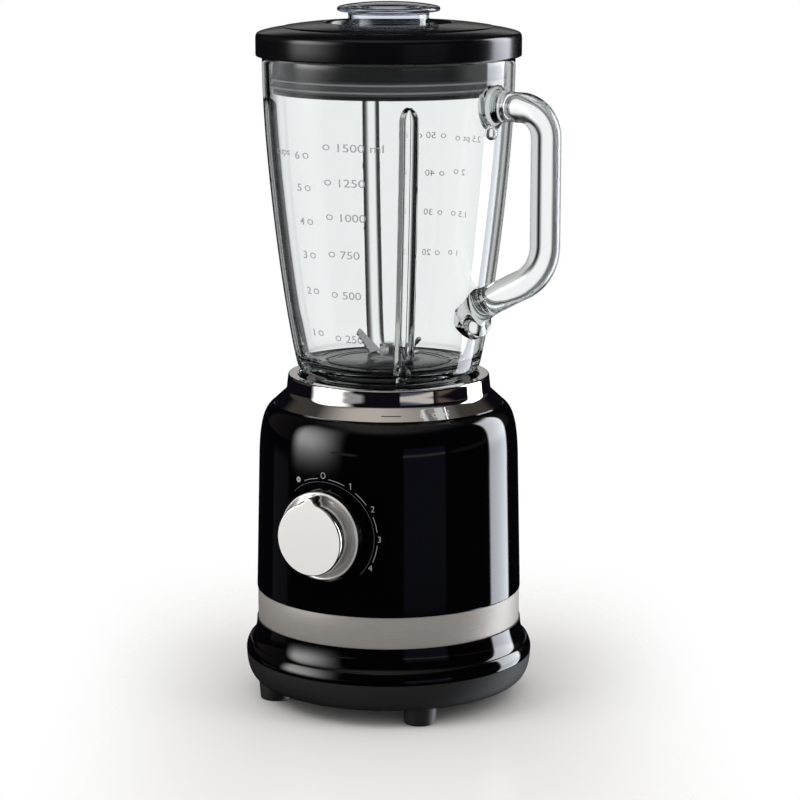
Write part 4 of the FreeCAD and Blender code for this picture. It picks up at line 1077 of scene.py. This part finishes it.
line = [P0] + run(P0, c1[0], 34) + c1 + run(c1[-1], c2[0], 30) + c2 + run(c2[-1], P3, 44) + [P3]
line = np.array(line)
seglen = np.concatenate([[0], np.cumsum(np.linalg.norm(np.diff(line, axis=0), axis=1))])
NS = 64
hv, hf = [], []
HR = 8.8
rows = []
for i, c in enumerate(line):
    a, b = line[max(0, i - 1)], line[min(len(line) - 1, i + 1)]
    t = (b - a) / np.linalg.norm(b - a)
    nrm = np.array([-t[1], t[0]])
    # distance outside the wall along the bar
    dist = c[0] - wall_r(c[1])
    if i < len(line) / 2:
        dw = dist
    else:
        dw = dist / math.cos(slope)
    flare = 4.6 * math.exp(-max(dw, -1.0) / 2.6) if dw < 16 else 0.0
    if i > len(line) / 2:
        flare = 5.4 * math.exp(-max(dw, -2.0) / 4.2) if dw < 22 else 0.0
    rr = HR + flare
    row = []
    for k in range(NS):
        ang = 2 * math.pi * k / NS
        q = c + nrm * (rr * math.cos(ang))
        row.append([q[0], rr * math.sin(ang), q[1]])
    rows.append(row)
R = np.array(rows)


def inside(p, depth):
    rad = math.hypot(p[0], p[1])
    return rad - (wall_r(p[2]) - depth)


# keep only the rows that leave the wall, and sink the end rows into it
keep = []
for i in range(len(R)):
    d = [inside(p, 0.0) for p in R[i]]
    if max(d) > 0.5:
        keep.append(i)
R = R[keep[0]:keep[-1] + 1]
for i in range(len(R)):
    for k in range(NS):
        p = R[i][k]
        if inside(p, 2.0) < 0:
            a = math.atan2(p[1], p[0])
            rad = wall_r(p[2]) - 2.0
            R[i][k][0], R[i][k][1] = rad * math.cos(a), rad * math.sin(a)
hv = [tuple(x * MM for x in p) for row in R for p in row]
nr = len(R)
for i in range(nr - 1):
    for k in range(NS):
        a, b = i * NS + k, i * NS + (k + 1) % NS
        hf.append((a, b, b + NS, a + NS))


def cap_fan(i, flip):
    row = R[i]
    cen = row.mean(0)
    a = math.atan2(cen[1], cen[0])
    rad = wall_r(cen[2]) - 2.0
    ci = len(hv)
    hv.append((rad * math.cos(a) * MM, rad * math.sin(a) * MM, cen[2] * MM))
    for k in range(NS):
        q = (i * NS + k, i * NS + (k + 1) % NS, ci)
        hf.append(q[::-1] if flip else q)


cap_fan(0, True)
cap_fan(nr - 1, False)
bar = new_object("bar_tmp", hv, hf)


def blob(center, r, scale=(1, 1, 1), n=28):
    v, f = [], []
    for i in range(n + 1):
        a = math.pi * i / n
        for k in range(2 * n):
            b = math.pi * k / n
            v.append(((center[0] + r * scale[0] * math.sin(a) * math.cos(b)) * MM, (center[1] + r * scale[1] * math.sin(a) * math.sin(b)) * MM,
                      (center[2] + r * scale[2] * math.cos(a)) * MM))
    m = 2 * n
    for i in range(n):
        for k in range(m):
            f.append((i * m + k, i * m + (k + 1) % m, (i + 1) * m + (k + 1) % m, (i + 1) * m + k))
    return v, f


def blob_object(name, *a, **k):
    ob = new_object(name, *blob(*a, **k))
    bm = bmesh.new()
    bm.from_mesh(ob.data)
    bmesh.ops.remove_doubles(bm, verts=bm.verts, dist=1e-7)
    bmesh.ops.recalc_face_normals(bm, faces=bm.faces)
    bm.to_mesh(ob.data)
    bm.free()
    return ob


jug = boolean(jug, bar, "UNION")
jug = boolean(jug, blob_object("b1", (wall_r(349.5) - 1.6, 0, 349.8), 4.4, (1.0, 1.2, 1.0)), "UNION")
jug = boolean(jug, blob_object("b2", (wall_r(234.0) - 1.8, 0, 234.6), 6.6, (1.0, 1.15, 1.1)), "UNION")
jug.rotation_euler = (0, 0, 0)
jug.data.transform(Matrix.Rotation(JUG_TURN, 4, "Z"))
resmooth(jug, 50)
jug.data.materials.clear()
jug.data.materials.append(M["glass"])
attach(jug, "jug")
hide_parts("glass_jug")


# volume scale on the outside of the jug


def on_jug(az_deg):
    def place(u, v, h, az=az_deg):
        z = v
        r = wall_r(z) + 0.02 + h
        a = math.radians(az - 90.0) + u / 68.0
        return (r * math.cos(a) * MM, r * math.sin(a) * MM, z * MM)
    return place


def level(items, az, z):
    """items: list of (flat mark, du). Returns solids at the jug azimuth."""
    out = []
    for m, du in items:
        v, f = subdivided(m, 3.0)
        tilt = [((a + du) * 1.28, b + z) for a, b in v]
        out.append(thick((tilt, f), on_jug(az), 0.12))
    return out


parts = []
for z, s in ((343.8, "1500 ml"), (323.3, "1250"), (302.9, "1000"), (280.8, "750"), (256.5, "500"), (230.0, "250")):
    parts += level([(ring_flat(1.15, 1.75), -2.2), (text_flat(s, 6.6, 0.03, "LEFT"), 1.9)], 3.0, z)
for z, s in ((338.0, "6"), (319.0, "5"), (299.0, "4"), (279.0, "3"), (257.5, "2"), (232.0, "1")):
    parts += level([(text_flat(s, 6.2, 0.06, "RIGHT"), -2.2), (ring_flat(1.15, 1.75), 1.2)], -12.5, z)
parts += level([(text_flat("cups", 6.0, 0.03, "RIGHT"), -8.5)], -12.5, 338.0)
for z, s in ((338.0, "50 oz"), (314.7, "40"), (290.6, "30"), (265.6, "20")):
    parts += level([(ring_flat(1.0, 1.4), -3.2), (text_flat(s, 5.4, -0.02, "LEFT"), 0.6)], 184.3, z)
for z, s in ((337.0, "2.5 pt"), (316.4, "2"), (290.7, "1.5"), (266.6, "1")):
    parts += level([(ring_flat(1.0, 1.4), 1.6), (text_flat(s, 5.4, -0.02, "RIGHT"), -1.6)], 170.3, z)
scale_marks = new_object("volume_marks", *join_arrays(parts), mats=[M["scale"]])
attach(scale_marks, "jug")

# ------------------------------------------------------------------ lid, seal, cap
l_prof = [(68.9, 370.9), (69.0, 371.1), (69.0, 373.0), (67.0, 373.0), (67.0, 381.5), (69.2, 381.5), (69.2, 392.8), (76.7, 392.8), (76.9, 392.0), (78.1, 392.0)] \
    + bez((78.1, 392.0), (78.9, 392.02), (79.33, 392.4), (79.35, 393.2), 8) + [(79.35, 398.0), (79.35, 402.4)] \
    + bez((79.35, 402.4), (79.35, 405.2), (78.6, 406.0), (76.3, 406.65), 14) \
    + bez((76.3, 406.65), (72.0, 407.9), (67.5, 408.6), (63.5, 409.0), 12) \
    + bez((63.5, 409.0), (63.1, 409.05), (63.0, 409.5), (62.5, 409.6), 5) \
    + bez((62.5, 409.6), (55.0, 410.8), (47.0, 411.7), (40.8, 412.0), 12) \
    + bez((40.8, 412.0), (38.6, 412.1), (37.9, 411.6), (37.6, 410.4), 8) \
    + bez((37.6, 410.4), (36.9, 406.3), (36.6, 404.6), (34.6, 404.5), 10) \
    + [(30.2, 404.5)] + bez((30.2, 404.5), (29.1, 404.5), (29.0, 405.2), (28.85, 406.3), 6) \
    + bez((28.85, 406.3), (28.7, 407.4), (28.3, 407.6), (27.7, 407.6), 6) + [(25.3, 407.6)] + bez((25.3, 407.6), (24.8, 407.6), (24.6, 407.4), (24.6, 406.9), 5) \
    + [(24.6, 388.0), (27.0, 388.0), (27.0, 401.7), (38.9, 401.7), (40.6, 409.2), (62.0, 406.9), (65.5, 405.6), (65.5, 370.9)]
lid = revolve("lid_domed", l_prof, 320, [M["lid"]], 34)
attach(lid, "lid")
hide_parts("lid")

s_prof = rounded([(67.05, 373.2), (68.6, 373.2, 0.3), (68.8, 374.2, 0.3), (70.3, 375.0, 0.25), (70.3, 375.6, 0.25), (68.9, 376.2, 0.3), (68.9, 378.7, 0.3),
                  (70.6, 379.4, 0.25), (70.6, 380.0, 0.25), (68.9, 380.5, 0.3), (68.7, 381.3, 0.3), (67.05, 381.3)], 4)
seal = revolve("lid_seal_lips", s_prof, 256, [M["silicone"]], 60)
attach(seal, "lid")
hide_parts("lid_seal")

m_prof = [(0, 421.9)] + bez((0, 421.9), (9.0, 421.85), (17.0, 420.9), (20.6, 419.6), 14) + bez((20.6, 419.6), (21.6, 419.2), (22.0, 418.6), (22.0, 417.4), 6) \
    + [(22.3, 381.0)] + bez((22.3, 381.0), (22.3, 380.1), (24.0, 380.1), (24.1, 381.0), 8) + [(24.1, 407.5)] \
    + rounded([(24.1, 407.5), (24.4, 407.9, 0.15), (27.2, 407.9, 0.4), (27.2, 409.2, 0.45), (24.7, 409.8, 0.5), (24.2, 411.2)], 4, closed=False)[1:] \
    + [(24.2, 416.6)] + bez((24.2, 416.6), (24.2, 417.8), (24.8, 418.2), (26.0, 418.2), 6) + [(28.6, 418.2)] \
    + bez((28.6, 418.2), (31.2, 418.2), (31.4, 420.6), (29.4, 421.35), 12) + bez((29.4, 421.35), (24.0, 422.8), (12.0, 424.0), (0, 424.0), 20)
mcap = revolve("cap_clear", m_prof, 224, [M["cap"]], 50)
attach(mcap, "cap")
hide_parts("measuring_cap")

# ------------------------------------------------------------------ materials of the carried-over nodes
CARRY = {
    "jug_seat": "seat", "cord_gland": "inner_plastic", "cover_screws": "screw", "housing_screws": "screw", "collar_screws": "screw",
    "speed_switch": "inner_plastic", "switch_nut": "screw", "circuit_board": "board", "filter_capacitor": "capacitor",
    "micro_switch": "inner_plastic", "interlock_spring": "screw", "interlock_pin": "inner_plastic", "motor_stator": "lamination",
    "field_coils": "copper", "lower_bearing": "nut", "upper_bearing": "nut", "upper_bracket": "alloy", "lower_bracket": "alloy",
    "motor_screws": "screw", "vibration_mounts": "rubber", "brush_holders": "bronze", "carbon_brushes": "carbon", "brush_springs": "screw",
    "motor_shaft": "screw", "armature_core": "lamination", "armature_windings": "copper", "commutator": "copper", "cooling_fan": "inner_plastic",
    "drive_coupling": "rubber", "switch_shaft": "screw", "jug_gasket": "rubber", "blade_carrier": "carrier", "jug_base_ring": "carrier",
    "blade_bush": "bronze", "shaft_seal": "rubber", "blade_shaft": "nut", "lower_blade": "blade", "upper_blade": "blade",
    "blade_washer": "nut", "blade_nut": "nut", "driven_coupling": "rubber",
}
for node, mat in CARRY.items():
    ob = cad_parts[node]
    for sl in ob.material_slots:
        sl.material = M[mat]
    if not ob.material_slots:
        ob.data.materials.append(M[mat])
